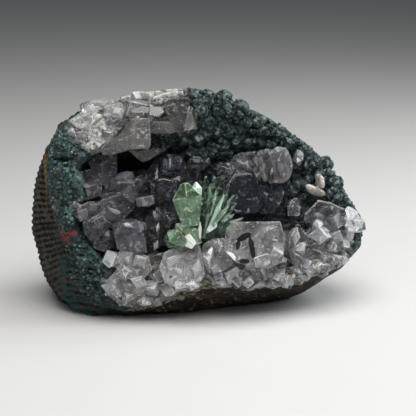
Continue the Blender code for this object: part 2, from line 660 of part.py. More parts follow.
def fuse(target, solids):
    for bm in solids:
        other = objectFrom(target.name + "_part", bm)
        combine(target, other, "UNION")
        remove(other)


def joined(name, solids):
    target = objectFrom(name, solids[0])
    fuse(target, solids[1:])
    return target


def boxOf(points):
    points = np.array([tuple(point) for point in points])
    return points.min(axis=0), points.max(axis=0)


def trim(target, solids):
    """Cuts the target clear of closed solids, each grown by the gap."""
    for bm in solids:
        grown(bm, PIECE_GAP)
        low, high = boxOf([v.co for v in bm.verts])
        ownLow, ownHigh = boxOf([v.co for v in target.data.vertices])
        if (low > ownHigh).any() or (high < ownLow).any():
            bm.free()
            continue
        cutter = objectFrom("cutter", bm)
        combine(target, cutter, "DIFFERENCE")
        remove(cutter)


def keepMain(target):
    """Drops the small chips that a cut leaves beside the main body."""
    bm = bmesh.new()
    bm.from_mesh(target.data)
    left = set(bm.faces)
    bodies = []
    while left:
        body = {left.pop()}
        edge = list(body)
        while edge:
            face = edge.pop()
            near = {other for side in face.edges for other in side.link_faces} & left
            left -= near
            body |= near
            edge += near
        bodies.append(body)
    main = max(bodies, key=lambda body: sum(face.calc_area() for face in body))
    chips = [face for face in bm.faces if face not in main]
    bmesh.ops.delete(bm, geom=chips, context="FACES")
    bm.to_mesh(target.data)
    bm.free()


def finish(target):
    """Merges faces that lie nearly flat together and leaves triangles only."""
    before = volumeOf(target.data)
    for angle, method in itertools.product(FLAT_ANGLES, ("BEAUTY", "EAR_CLIP")):
        bm = bmesh.new()
        bm.from_mesh(target.data)
        bmesh.ops.dissolve_degenerate(bm, edges=bm.edges, dist=SLIVER * MM)
        bmesh.ops.dissolve_limit(bm, angle_limit=math.radians(angle), verts=bm.verts, edges=bm.edges)
        bmesh.ops.triangulate(bm, faces=bm.faces, ngon_method=method)
        trial = bpy.data.meshes.new(target.name)
        bm.to_mesh(trial)
        bm.free()
        volume = volumeOf(trial)
        if volume is not None and abs(volume - before) < 0.002 * before:
            target.data = trial
            return
        bpy.data.meshes.remove(trial)


def makeCrystals(body):
    """Builds the crystal groups; each later group is cut clear of the earlier ones."""
    order = ("green_apophyllite_spray", "apophyllite_front_blocks", "apophyllite_large_crystal",
             "apophyllite_right_blocks", "apophyllite_left_blocks", "apophyllite_top_blocks",
             "small_cube_upper", "small_cube_lower", "stilbite_blades")
    near = {"apophyllite_front_blocks": ("green_apophyllite_spray",),
            "apophyllite_large_crystal": ("green_apophyllite_spray", "apophyllite_front_blocks"),
            "apophyllite_right_blocks": ("apophyllite_front_blocks", "apophyllite_large_crystal"),
            "apophyllite_left_blocks": ("green_apophyllite_spray", "apophyllite_front_blocks",
                                        "apophyllite_large_crystal"),
            "apophyllite_top_blocks": ("apophyllite_left_blocks",),
            "small_cube_upper": ("apophyllite_large_crystal",),
            "small_cube_lower": ("apophyllite_large_crystal", "apophyllite_right_blocks"),
            "stilbite_blades": ("apophyllite_right_blocks",)}
    colours = {"green_apophyllite_spray": (0.45, 0.66, 0.42), "stilbite_blades": (0.78, 0.7, 0.64)}
    made = {}
    for name in order:
        group = joined(name, solidsOf(name))
        combine(group, body, "DIFFERENCE")
        trim(group, knobSolids() + [ledge(*one) for one in LEDGES])
        for other in near.get(name, ()):
            trim(group, solidsOf(other))
        if name != "stilbite_blades":
            keepMain(group)
        finish(group)
        tone = colours.get(name, (0.72, 0.73, 0.74))
        group.data.materials.clear()
        group.data.materials.append(surface(name + "_crystal", tone, 0.12))
        made[name] = group
    return made


def flatten(made):
    """Cuts away everything below the flat resting face."""
    bm = bmesh.new()
    bmesh.ops.create_cube(bm, size=1.0, matrix=Matrix.Translation((0, 0, -0.5)))
    block = objectFrom("rest_cutter", bm)
    combine(made, block, "DIFFERENCE")
    remove(block)


def main():
    clearScene()
    basalt = objectFrom("basalt_matrix", makeBasalt())
    flatten(basalt)
    trim(basalt, knobSolids() + [ledge(*one) for one in LEDGES])
    keepMain(basalt)
    finish(basalt)
    basalt.data.materials.append(surface("dark_basalt", (0.07, 0.06, 0.055), 0.85))
    lining = objectFrom("chalcedony_crust", makeLining())
    flatten(lining)
    fuse(lining, [ledge(*one) for one in LEDGES])
    fuse(lining, knobSolids())
    finish(lining)
    lining.data.materials.clear()
    lining.data.materials.append(surface("celadonite_chalcedony", (0.12, 0.22, 0.24), 0.6))
    body = objectFrom("body_cutter", makeBodyCutter())
    makeCrystals(body)
    remove(body)


main()
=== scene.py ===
# Apophyllite cluster: a basalt chunk, its blue-green lining, clear and milky crystals, a green spray
import math
import random

import bmesh
import bpy
import numpy as np
from mathutils import Matrix, Vector, noise
from mathutils.bvhtree import BVHTree


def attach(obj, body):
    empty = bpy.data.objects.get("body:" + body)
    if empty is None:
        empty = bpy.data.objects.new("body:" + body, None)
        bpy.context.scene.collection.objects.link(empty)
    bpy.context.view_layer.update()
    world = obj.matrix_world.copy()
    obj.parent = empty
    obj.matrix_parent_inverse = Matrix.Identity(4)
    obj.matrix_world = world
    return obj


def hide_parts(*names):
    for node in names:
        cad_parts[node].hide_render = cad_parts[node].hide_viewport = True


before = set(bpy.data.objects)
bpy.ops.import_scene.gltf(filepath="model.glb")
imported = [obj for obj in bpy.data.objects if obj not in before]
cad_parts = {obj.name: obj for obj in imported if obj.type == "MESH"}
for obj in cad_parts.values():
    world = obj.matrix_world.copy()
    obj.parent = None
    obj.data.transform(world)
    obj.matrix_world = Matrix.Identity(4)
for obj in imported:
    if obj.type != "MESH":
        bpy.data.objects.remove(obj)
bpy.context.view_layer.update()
mm = 0.001
print("frame loaded")

# the grid: 416 squares a side, looking at the open face from 14 degrees above; a square covers one step
grid = {"squares": 416, "tilt": math.radians(14), "distance": 546 * mm,
        "aim": Vector((3.6, 0, 44.5)) * mm, "lens": 105, "sensor": 36, "step": 0.45 * mm}
ahead = Vector((0, math.cos(grid["tilt"]), -math.sin(grid["tilt"])))
upward = Vector((0, math.sin(grid["tilt"]), math.cos(grid["tilt"])))
eye = grid["aim"] - ahead * grid["distance"]
square = grid["sensor"] / grid["lens"] / grid["squares"]
halfGrid = grid["squares"] / 2


def sight(across, down):  # the line of sight through a grid place
    sideways = Vector((1, 0, 0)) * (across - halfGrid) * square
    return (ahead + sideways + upward * (halfGrid - down) * square).normalized()


def spot(across, down, depth):  # a grid place at a depth in mm, minus towards the viewer
    line = sight(across, down)
    return eye + line * ((depth * mm - eye.y) / line.y)


def gridOf(points):  # the grid places of points in metres
    away = points - np.array(eye)
    reach = away @ np.array(ahead)
    across = halfGrid + away[:, 0] / reach / square
    down = halfGrid - (away @ np.array(upward)) / reach / square
    return across, down


# mesh helpers

def copyNode(name):  # a CAD node's mesh with its loose triangles merged
    bm = bmesh.new()
    bm.from_mesh(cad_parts[name].data)
    bmesh.ops.remove_doubles(bm, verts=bm.verts, dist=0.002 * mm)
    return bm


def placed(name, data):  # a new object at the origin
    made = bpy.data.objects.new(name, data)
    bpy.context.scene.collection.objects.link(made)
    return made


def addObject(name, bm):
    mesh = bpy.data.meshes.new(name)
    bm.to_mesh(mesh)
    bm.free()
    mesh.validate()
    return placed(name, mesh)


def applied(piece):  # bakes the modifiers into the mesh
    graph = bpy.context.evaluated_depsgraph_get()
    mesh = bpy.data.meshes.new_from_object(piece.evaluated_get(graph))
    piece.modifiers.clear()
    piece.data = mesh


def evened(name, node, voxel):  # a CAD node with vertices close enough to shape
    piece = addObject(name, copyNode(node))
    remesh = piece.modifiers.new("even", "REMESH")
    remesh.mode = "VOXEL"
    remesh.voxel_size = voxel * mm
    applied(piece)
    return piece


def settle(piece, finish, slotName, *standsFor):
    piece.data.materials.clear()
    piece.data.materials.append(finish)
    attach(piece, "root")
    if standsFor:
        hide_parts(*standsFor)


def gathered(items, key, width=3, kind=float):  # one row of numbers for every item
    flat = np.empty(len(items) * width, dtype=kind)
    items.foreach_get(key, flat)
    return flat.reshape(-1, width)


def places(mesh):
    return gathered(mesh.vertices, "co")


def outward(mesh):
    return gathered(mesh.vertex_normals, "vector")


def pushed(mesh, points, normals, move):  # moves vertices outwards in mm, never below the floor
    points = points + normals * (move * mm)[:, None]
    points[:, 2] = np.maximum(points[:, 2], 0)
    mesh.vertices.foreach_set("co", points.ravel())
    mesh.update()
    return points


def paint(mesh, **marks):  # numbers for every vertex, read by the materials
    for name, values in marks.items():
        layer = mesh.attributes.new(name, "FLOAT", "POINT")
        layer.data.foreach_set("value", np.clip(values, 0, 1).astype(np.float32))


def paintFaces(mesh, **marks):
    for name, values in marks.items():
        layer = mesh.attributes.new(name, "FLOAT", "FACE")
        layer.data.foreach_set("value", np.asarray(values, dtype=np.float32))


def blurred(mesh, values, rounds):  # evens a value out over neighbouring vertices
    ends = gathered(mesh.edges, "vertices", 2, np.int64)
    count = np.bincount(ends.ravel(), minlength=len(values)).astype(float)
    shape = count if values.ndim == 1 else count[:, None]
    for _ in range(rounds):
        total = np.zeros_like(values)
        np.add.at(total, ends[:, 0], values[ends[:, 1]])
        np.add.at(total, ends[:, 1], values[ends[:, 0]])
        values = values * 0.4 + total / shape * 0.6
    return values


def hollows(mesh, rounds, reach):  # above 0 in creases, below 0 on ridges
    points = places(mesh)
    away = blurred(mesh, points, rounds) - points
    return np.einsum("ij,ij->i", away, outward(mesh)) / (reach * mm)


def share(values, zero, one):  # 0 up to one limit, 1 from the other on
    return np.clip((values - zero) / (one - zero), 0, 1)


def swell(points, size, shift=0.0):  # smooth noise from -1 to 1 with waves of a size in mm
    scale = 1 / (size * mm)
    moved = points * scale + shift
    return np.array([noise.noise(p) for p in moved.tolist()])


def domes(points, size, shift=0.0):  # rounded bumps packed side by side, 0 in the seams and 1 on top
    moved = points / (size * mm) + shift
    near = np.array([noise.voronoi(p)[0][0] for p in moved.tolist()])
    return np.sqrt(np.clip(1 - (near / 0.75) ** 2, 0, 1))


def within(outline, across, down):
    inside = np.zeros(len(across), dtype=bool)
    for (x1, y1), (x2, y2) in zip(outline, outline[1:] + outline[:1]):
        if y1 == y2:
            continue
        crossing = x1 + (down - y1) * (x2 - x1) / (y2 - y1)
        inside ^= ((y1 > down) != (y2 > down)) & (across < crossing)
    return inside.astype(float)


def blots(marks, across, down):  # soft spots: (across, down, half width, half height, strength)
    total = np.zeros(len(across))
    for a, d, wide, high, strength in marks:
        far = np.hypot((across - a) / wide, (down - d) / high)
        total = np.maximum(total, strength * np.clip(1.6 - far, 0, 1))
    return total


def along(route, wide, across, down):  # a soft line through grid places
    best = np.full(len(across), 1e9)
    for (x1, y1), (x2, y2) in zip(route, route[1:]):
        length = (x2 - x1) ** 2 + (y2 - y1) ** 2
        share = np.clip(((across - x1) * (x2 - x1) + (down - y1) * (y2 - y1)) / length, 0, 1)
        best = np.minimum(best, np.hypot(across - x1 - share * (x2 - x1), down - y1 - share * (y2 - y1)))
    return np.clip(1.5 - best / wide, 0, 1)


def sawWaves(across, down):  # the coarse ribs at the lower left, from -0.6 to 0.4
    return np.abs(((down - across * 0.12) / 6.2) % 1 - 0.5) * 2 - 0.6


def turned(angle, axis):
    return Matrix.Rotation(angle, 4, axis)


def shaded(colour, factor):
    return tuple(c * factor for c in colour)


def facing(way):  # the turn that points an upright shape along a way
    return way.to_track_quat("Z", "Y").to_matrix().to_4x4()


def treeOf(*pieces):
    bm = bmesh.new()
    for piece in pieces:
        bm.from_mesh(piece.data)
    tree = BVHTree.FromBMesh(bm)
    bm.free()
    return tree


def tiled(name, groups):  # joins copies of small shapes: (template bmesh, matrices) pairs
    points, faces, owners, rims, own = [], [], [], [], []
    for template, matrices in groups:
        template.verts.index_update()
        corners = np.array([tuple(v.co) + (1.0,) for v in template.verts])
        shape = [[v.index for v in f.verts] for f in template.faces]
        layer = template.faces.layers.float.get("rim")
        rims.extend([f[layer] if layer else 0.0 for f in template.faces] * len(matrices))
        template.free()
        for matrix in matrices:
            sides = np.array([matrix.col[i].xyz.length for i in range(3)])
            own.append(corners[:, :3] * sides + len(own) * 0.013)
            start = len(points)
            points.extend((corners @ np.array(matrix).T)[:, :3].tolist())
            faces.extend([start + i for i in face] for face in shape)
            owners.extend([owners[-1] + 1 if owners else 0] * len(shape))
    mesh = bpy.data.meshes.new(name)
    mesh.from_pydata(points, [], faces)
    paintFaces(mesh, rim=rims)
    layer = mesh.attributes.new("own", "FLOAT_VECTOR", "POINT")
    layer.data.foreach_set("vector", np.concatenate(own).astype(np.float32).ravel())
    return placed(name, mesh), np.array(owners)


# shader helpers

class Value:
    def __init__(self, finish, socket):
        self.finish = finish
        self.socket = socket

    def math(self, operation, *others):
        sockets = dict(enumerate((self, *others)))
        node = self.finish.make("ShaderNodeMath", {"operation": operation}, sockets)
        return Value(self.finish, node.outputs[0])

    def __add__(self, other):
        return self.math("ADD", other)

    def __sub__(self, other):
        return self.math("SUBTRACT", other)

    def __mul__(self, other):
        return self.math("MULTIPLY", other)

    def __rsub__(self, other):
        return self.math("MULTIPLY", -1.0).math("ADD", other)

    __radd__ = __add__
    __rmul__ = __mul__

    def clamped(self):
        node = self.finish.make("ShaderNodeClamp", {}, {"Value": self})
        return Value(self.finish, node.outputs[0])

    def between(self, low, high):  # 0 below low, 1 above high
        settings = {"interpolation_type": "SMOOTHSTEP"}
        sockets = {"Value": self, "From Min": low, "From Max": high}
        return Value(self.finish, self.finish.make("ShaderNodeMapRange", settings, sockets).outputs[0])


class Finish:
    def __init__(self, name):
        self.material = bpy.data.materials.new(name)
        self.material.use_nodes = True
        self.tree = self.material.node_tree
        self.tree.nodes.clear()
        self.place = self.make("ShaderNodeTexCoord").outputs["Object"]

    def make(self, kind, settings=None, sockets=None):
        node = self.tree.nodes.new(kind)
        for key, value in (settings or {}).items():
            if key == "stops":
                ramp = node.color_ramp
                while len(ramp.elements) < len(value):
                    ramp.elements.new(0.5)
                for element, (position, colour) in zip(ramp.elements, value):
                    element.position = position
                    element.color = (*colour, 1.0)
            else:
                setattr(node, key, value)
        for key, value in (sockets or {}).items():
            if isinstance(value, Value):
                value = value.socket
            if isinstance(value, bpy.types.NodeSocket):
                self.tree.links.new(value, node.inputs[key])
            elif isinstance(value, tuple) and len(value) == 3 and node.inputs[key].type == "RGBA":
                node.inputs[key].default_value = (*value, 1.0)
            else:
                node.inputs[key].default_value = value
        return node

    def mark(self, name):
        return Value(self, self.make("ShaderNodeAttribute", {"attribute_name": name}).outputs["Fac"])

    def stretched(self, scale, turn=(0.0, 0.0, 0.0)):  # the place, pulled out along an axis
        sockets = {"Vector": self.place, "Rotation": turn, "Scale": scale}
        return self.make("ShaderNodeMapping", {}, sockets).outputs[0]

    def grain(self, size, detail=4.0, roughness=0.55, place=None, distortion=0.0):
        sockets = {"Vector": place or self.place, "Scale": 1000.0 / size, "Detail": detail,
                   "Roughness": roughness, "Distortion": distortion}
        return Value(self, self.make("ShaderNodeTexNoise", {}, sockets).outputs["Fac"])

    def cells(self, size):
        sockets = {"Vector": self.place, "Scale": 1000.0 / size}
        return Value(self, self.make("ShaderNodeTexVoronoi", {}, sockets).outputs["Distance"])

    def blot(self, centre, size, turn, ragged):  # 1 inside a soft-edged mark, half sizes in mm
        settings = {"vector_type": "TEXTURE"}
        sockets = {"Vector": self.place, "Location": tuple(centre), "Rotation": (0, math.radians(turn), 0),
                   "Scale": tuple(s * mm for s in size)}
        place = self.make("ShaderNodeMapping", settings, sockets).outputs[0]
        length = self.make("ShaderNodeVectorMath", {"operation": "LENGTH"}, {0: place}).outputs["Value"]
        return 1.0 - (Value(self, length) + ragged).between(0.8, 1.05)

    def mix(self, factor, first, second):
        node = self.make("ShaderNodeMix", {"data_type": "RGBA"}, {"Factor": factor, 6: first, 7: second})
        return node.outputs[2]

    def stained(self, base, *stains):  # lays colours over a base, each where its factor is high
        for factor, colour in stains:
            base = self.mix(factor, base, colour)
        return base

    def ramp(self, value, stops):
        return self.make("ShaderNodeValToRGB", {"stops": stops}, {"Fac": value}).outputs[0]

    def bump(self, height, strength, depth):  # depth in mm
        sockets = {"Height": height, "Strength": strength, "Distance": depth * mm}
        return self.make("ShaderNodeBump", {}, sockets).outputs[0]

    def shader(self, **sockets):
        named = {key.replace("_", " "): value for key, value in sockets.items()}
        return self.make("ShaderNodeBsdfPrincipled", {}, named).outputs[0]

    def blend(self, factor, first, second):
        return self.make("ShaderNodeMixShader", {}, {0: factor, 1: first, 2: second}).outputs[0]

    def done(self, surface, volume=None):
        out = self.make("ShaderNodeOutputMaterial", {}, {"Surface": surface})
        if volume is not None:
            self.tree.links.new(volume, out.inputs["Volume"])
        return self.material


# stage: pale floor, soft lights, camera at the grid's viewpoint
stage = {"floorSize": 6.0, "floorColour": (0.60, 0.60, 0.59), "worldColour": (0.80, 0.83, 0.88),
         "worldStrength": 0.13}
lamps = [  # place, size, watts, colour
    ((0.06, -0.22, 0.72), 0.66, 7.2, (1.0, 0.98, 0.95)),
    ((0.55, 0.10, 0.42), 0.40, 3.4, (0.95, 0.98, 1.0)),
    ((-0.60, -0.45, 0.30), 0.40, 0.4, (0.94, 0.97, 1.0))]


def makeStage():
    bm = bmesh.new()
    bmesh.ops.create_grid(bm, x_segments=1, y_segments=1, size=stage["floorSize"] / 2)
    floor = addObject("floor", bm)
    f = Finish("pale_floor")
    shade = f.mix(f.grain(40), stage["floorColour"], shaded(stage["floorColour"], 0.97))
    floor.data.materials.append(f.done(f.shader(Base_Color=shade, Roughness=0.7)))
    world = bpy.data.worlds.new("studio")
    world.use_nodes = True
    sky = world.node_tree.nodes["Background"]
    sky.inputs["Color"].default_value = (*stage["worldColour"], 1)
    sky.inputs["Strength"].default_value = stage["worldStrength"]
    bpy.context.scene.world = world
    for n, (place, size, watts, colour) in enumerate(lamps):
        light = bpy.data.lights.new(f"softbox{n}", "AREA")
        light.size = size
        light.energy = watts
        light.color = colour
        lamp = placed(f"softbox{n}", light)
        lamp.location = place
        lamp.rotation_euler = (grid["aim"] - lamp.location).to_track_quat("-Z", "Y").to_euler()
    camera = placed("camera", bpy.data.cameras.new("camera"))
    camera.data.lens = grid["lens"]
    camera.data.sensor_width = grid["sensor"]
    camera.data.clip_start = 0.01
    camera.location = eye
    camera.rotation_euler = ahead.to_track_quat("-Z", "Y").to_euler()
    bpy.context.scene.camera = camera
    bpy.context.scene.view_settings.view_transform = "Standard"
    print("stage ready")


makeStage()

# rock: the dark ribbed chunk
# the dark colour is painted shade and the rib colour a painted highlight; the light colour is pale specks
# and also a painted highlight on ridges
rock = {"voxel": 0.77, "lump": (0.45, 9), "grit": (0.16, 1.6), "break": (1.1, 17), "ribs": 2.6,
        "colour": (0.016, 0.014, 0.0125), "light": (0.034, 0.029, 0.025), "dark": (0.006, 0.006, 0.007),
        "rib": (0.11, 0.094, 0.080), "vein": (0.10, 0.062, 0.030), "teal": (0.020, 0.052, 0.056),
        "ochre": (0.20, 0.105, 0.03), "red": (0.26, 0.025, 0.015)}
ochreMarks = [
    (46.5, 160, 1.6, 34, 0.9), (57.5, 205, 1.4, 7, 0.8), (75, 153.5, 2.4, 2, 1), (57, 170, 1.6, 3, 1)]
redMarks = [
    (70, 233, 7, 1.6, 1), (67, 238, 4, 3, 0.9), (64, 236, 2, 2, 1), (71, 243, 1.2, 1.2, 1),
    (74, 282, 1.5, 1.5, 0.9), (86, 291, 2.2, 1.3, 1)]


def rockFinish():
    f = Finish("weathered_basalt")
    patches = f.grain(14, 6, 0.6).between(0.35, 0.68)
    specks = f.grain(0.9, 3, 0.7).between(0.42, 0.72)
    streaks = f.grain(3.5, 5, 0.6, f.stretched((1, 1, 0.35)))
    veins = f.grain(2.4, 6, 0.7, f.stretched((0.3, 0.6, 1.6))).between(0.52, 0.62)
    base = f.stained(
        f.mix(patches, rock["colour"], shaded(rock["colour"], 2.2)),
        (specks * 0.45, rock["light"]),
        # painted highlight: lighter on ridges and rib tops
        (f.mark("ridge") * (0.45 + streaks * 0.5), rock["light"]),
        (f.mark("ridge") * f.mark("ribbed") * (streaks * 0.9), rock["rib"]),
        # painted shade: darker in creases and on the underside; the veins there are real colour
        (f.mark("crease"), rock["dark"]),
        (f.mark("under") * 0.35, rock["dark"]),
        (f.mark("under") * veins * 0.8, rock["vein"]),
        (f.mark("ochre") * f.grain(1.3).between(0.35, 0.55), rock["ochre"]),
        (f.mark("teal") * f.grain(4, 5).between(0.38, 0.6), rock["teal"]),
        (f.mark("red"), rock["red"]))
    rough = f.mix(specks, (0.62, 0.62, 0.62), (0.9, 0.9, 0.9))
    bumped = f.bump(f.grain(1.1, 5, 0.65) + f.cells(0.7) * 0.4, 0.7, 0.35)
    return f.done(f.shader(Base_Color=base, Roughness=rough, Normal=bumped, Specular_IOR_Level=0.18))


def makeRock():
    piece = evened("basalt_chunk", "basalt_matrix", rock["voxel"])
    mesh = piece.data
    points = places(mesh)
    normals = outward(mesh)
    across, down = gridOf(points)
    depth = points[:, 1] / mm
    back = share(depth, 16, 30)
    move = sum(swell(points, waves) * size for size, waves in (rock["lump"], rock["grit"]))
    size, waves = rock["break"]
    move += (np.abs(swell(points, waves, 3.3)) * 2 - 0.7) * size * back
    move -= np.clip(swell(points, 4.2, 9.1) - 0.38, 0, 1) * 4 * back
    ribbed = share(across, 104, 94) * share(depth, 22, 16)
    points = points + (points - blurred(mesh, points, 14)) * (ribbed * rock["ribs"])[:, None]
    sawn = share(across, 104, 98) * share(across, 62, 67) * share(down, 238, 248) * (normals[:, 1] < 0.1)
    move += sawWaves(across, down) * 1.3 * sawn
    points = pushed(mesh, points, normals, move)
    # creases are painted with shade and ridges with a highlight; the under value paints shade on the
    # underside and also places the veins
    crease = hollows(mesh, 6, 0.30) * (1 + ribbed * 2.0)
    shifted = across + swell(points, 3) * 3
    near = points[:, 1] < 0.02
    weathered = np.clip(swell(points, 11, 4.4) * 2.2 - 0.9, 0, 1) * back
    lowLeft = share(shifted, 108, 102) * share(shifted, 54, 64)
    paint(mesh, crease=np.clip(crease, 0, 1) ** 0.8, ridge=-crease * 0.8, ribbed=ribbed,
          ochre=blots(ochreMarks, across + swell(points, 2) * 1.5, down) * near + weathered,
          red=blots(redMarks, shifted, down + swell(points, 1.5, 5) * 2) * near,
          teal=lowLeft * (points[:, 1] < 0.008),
          under=share(down, 262, 280) * share(points[:, 1] / mm, 22, 8))
    settle(piece, rockFinish(), "dark_basalt", "basalt_matrix")
    print("rock", len(mesh.vertices))
    return piece


# lining: blue-green rind, druse field, pale upper crust and rusty lower layers
# the pale druse colour is a painted highlight on the knob tops
lining = {"voxel": 0.55, "grow": 0.25, "backShare": 0.72,
          "teal": (0.0105, 0.028, 0.032), "deep": (0.002, 0.006, 0.008), "pale": (0.14, 0.20, 0.19),
          "druse": (0.006, 0.015, 0.020), "druseRidgeLight": (0.075, 0.115, 0.12), "white": (0.42, 0.41, 0.39),
          "rust": (0.22, 0.135, 0.062), "clay": (0.38, 0.34, 0.28), "navy": (0.012, 0.018, 0.028)}
drusePatch = [
    (186, 86), (225, 90), (250, 104), (278, 120), (308, 140), (332, 158), (345, 188), (356, 208),
    (334, 204), (312, 204), (300, 226), (270, 226), (262, 160), (240, 156), (222, 170), (206, 176),
    (186, 160), (150, 160), (140, 140), (170, 136)]
whitePatch = [
    (66, 128), (72, 117), (86, 107), (104, 100), (128, 93), (165, 89), (186, 86), (188, 96), (166, 104),
    (150, 122), (126, 130), (106, 146), (98, 152), (86, 152), (82, 140)]
rustPatch = [
    (150, 318), (118, 310), (165, 300), (190, 288), (204, 272), (230, 266), (262, 268), (310, 268),
    (330, 268), (318, 284), (270, 300), (220, 314)]
paleEdge = [
    (60, 134), (74, 142), (84, 158), (74, 168), (80, 182), (78, 200), (72, 212), (76, 224), (86, 236),
    (93, 250), (102, 262), (108, 276)]
# pits pushed into the lining and painted with shade
shadedPits = [
    (75, 138, 5, 4, 1), (61, 159, 9, 2, 1), (85, 141, 4, 2, 0.7), (102, 112, 8, 2, 0.6),
    (62, 190, 3, 4, 0.6), (75, 196, 3, 5, 0.7), (69, 184, 3, 3, 0.6), (90, 272, 4, 4, 0.7)]
navyMarks = [(207, 301, 8, 4, 1), (160, 306, 8, 3, 0.8), (262, 290, 16, 2.5, 0.8), (232, 292, 10, 3, 0.6)]


def liningFinish():
    f = Finish("celadonite_lining")
    mottle = f.grain(5.5, 6, 0.62)
    fine = f.grain(1.4, 4, 0.6)
    ridge = f.mark("ridge")
    teal = f.stained(
        f.mix(mottle.between(0.40, 0.56), lining["deep"], lining["teal"]),
        (f.grain(2.6, 5, 0.7).between(0.54, 0.66) * 0.8, (0.055, 0.13, 0.12)),
        (fine.between(0.62, 0.74) * 0.6, (0.16, 0.24, 0.22)))
    druse = f.stained(
        f.mix(mottle.between(0.35, 0.66), lining["deep"], lining["druse"]),
        (f.grain(7, 3, 0.6).between(0.50, 0.66) * 0.8, (0.030, 0.052, 0.056)),
        # painted highlight on the knob tops
        (ridge * (0.25 + fine * 0.8), lining["druseRidgeLight"]),
        (ridge.between(0.45, 1.0) * fine.between(0.45, 0.6) * 0.8, (0.23, 0.29, 0.26)),
        (f.grain(0.75, 2, 0.8).between(0.58, 0.68) * 0.75, (0.17, 0.24, 0.27)))
    white = f.stained(
        f.mix(mottle.between(0.42, 0.56), (0.20, 0.235, 0.235), lining["white"]),
        (f.grain(2.2, 5, 0.7).between(0.52, 0.62) * 0.8, (0.70, 0.69, 0.66)),
        (f.grain(4.6, 5, 0.7).between(0.56, 0.64) * 0.75, (0.055, 0.105, 0.105)),
        (f.grain(3.1, 5, 0.7, f.stretched((1, 1, 1.6))).between(0.57, 0.66) * 0.7, (0.16, 0.12, 0.085)),
        # painted highlight on the crust's ridges
        (ridge * 0.6, (0.74, 0.73, 0.70)))
    strata = f.grain(1.7, 5, 0.62, f.stretched((0.16, 0.6, 1.8), (0, math.radians(-12), 0)), 0.6)
    rust = f.ramp(strata, [
        (0.34, (0.022, 0.018, 0.015)), (0.43, lining["rust"]), (0.49, (0.09, 0.07, 0.05)),
        (0.54, lining["clay"]), (0.60, (0.40, 0.28, 0.13)), (0.68, (0.34, 0.32, 0.28))])
    base = f.stained(
        teal,
        (f.mark("druse"), druse),
        (f.mark("white"), white),
        (f.mark("rust"), rust),
        (f.mark("pale") * fine.between(0.40, 0.60), lining["pale"]),
        (f.mark("ochre") * fine.between(0.35, 0.5), rock["ochre"]),
        # painted shade in creases and pits
        (f.mark("crease") * 0.85, (0.006, 0.010, 0.011)),
        (f.mark("navy"), lining["navy"]),
        (f.mark("red"), rock["red"]))
    rough = f.mix(fine, (0.28, 0.28, 0.28), (0.7, 0.7, 0.7))
    bumped = f.bump(f.grain(1.0, 5, 0.7) + f.cells(1.6) * 0.5, 0.9, 0.55)
    return f.done(f.shader(Base_Color=base, Roughness=rough, Normal=bumped, Specular_IOR_Level=0.4,
                           Sheen_Weight=0.12, Sheen_Tint=(0.6, 0.85, 0.85, 1.0), Sheen_Roughness=0.4))


def thinned(piece):  # leaves fewer vertices where the lining lies buried in the rock
    tree = treeOf(rockPiece)
    hidden = piece.vertex_groups.new(name="hidden")
    for vertex in piece.data.vertices:
        way = vertex.normal
        leaving = tree.ray_cast(vertex.co + way * 0.6 * mm, way)[1]
        if leaving and leaving.dot(way) > 0:
            hidden.add([vertex.index], 1.0, "REPLACE")
    print("buried", sum(1 for vertex in piece.data.vertices if vertex.groups), len(piece.data.vertices))
    thin = piece.modifiers.new("thin", "DECIMATE")
    thin.ratio = lining["backShare"]
    thin.vertex_group = "hidden"
    applied(piece)
    piece.vertex_groups.clear()
    print("lining faces", len(piece.data.polygons))


def makeLining():
    piece = evened("blue_green_lining", "chalcedony_crust", lining["voxel"])
    thinned(piece)
    mesh = piece.data
    points = places(mesh)
    normals = outward(mesh)
    across, down = gridOf(points)
    ragged = swell(points, 3.5, 1.7) * 4
    druse = blurred(mesh, within(drusePatch, across + ragged, down + ragged), 3)
    white = blurred(mesh, within(whitePatch, across + ragged, down - ragged), 2)
    rust = blurred(mesh, within(rustPatch, across + ragged, down + ragged * 0.6), 2)
    pits = blots(shadedPits, across, down)
    front = np.clip(0.3 - normals[:, 1], 0, 1)
    knobs = domes(points, 3.6) * 1.3 + domes(points, 1.7, 4.0) * 0.6 + swell(points, 1.2, 5.0) * 0.3
    plain = swell(points, 5) * 0.9 + domes(points, 2.4, 8.0) * 0.9 + swell(points, 1.5) * 0.45
    crust = swell(points, 6, 6.0) * 1.1 + np.abs(swell(points, 3.6, 2.0)) * 0.9
    crust += swell(points, 1.6) * 0.25 - 0.2
    steps = (points[:, 2] + points[:, 0] * 0.16) / mm + swell(points, 6) * 1.2
    layered = np.abs((steps / 1.7) % 1 - 0.5) * 1.8 + np.abs(swell(points, 2.6)) * 2.2 - 0.8
    move = plain * (1 - druse) + (knobs - 0.4) * druse
    move = move * (1 - white) + crust * white
    move = move * (1 - rust) + layered * rust
    move = move * front + lining["grow"] - pits * 1.6
    move += sawWaves(across, down) * 1.2 * (share(across, 101, 96) * share(down, 238, 248)) * front
    points = pushed(mesh, points, normals, move)
    # creases and pits are painted with shade, ridges with a highlight
    crease = hollows(mesh, 5, 0.30)
    jitter = swell(points, 1.8, 7.0) * 2
    paint(mesh, crease=np.maximum(crease - 0.1, pits * 0.9), ridge=-crease, druse=druse, white=white,
          rust=rust, pale=along(paleEdge, 3.0, across + jitter, down) * (1 - rust),
          ochre=blots(ochreMarks, across + jitter, down), navy=blots(navyMarks, across + jitter, down),
          red=blots(redMarks, across + jitter, down + jitter))
    settle(piece, liningFinish(), "celadonite_chalcedony", "chalcedony_crust")
    print("lining", len(mesh.vertices))
    return piece


# crystals
crystals = {"bevel": 0.11, "longest": 1.6, "ior": 1.535, "terrace": (0.8, 0.12, 30), "shine": 0.5,
            "darkShine": 0.14, "glow": 2.0, "shadow": (0.45, 0.45, 0.46)}
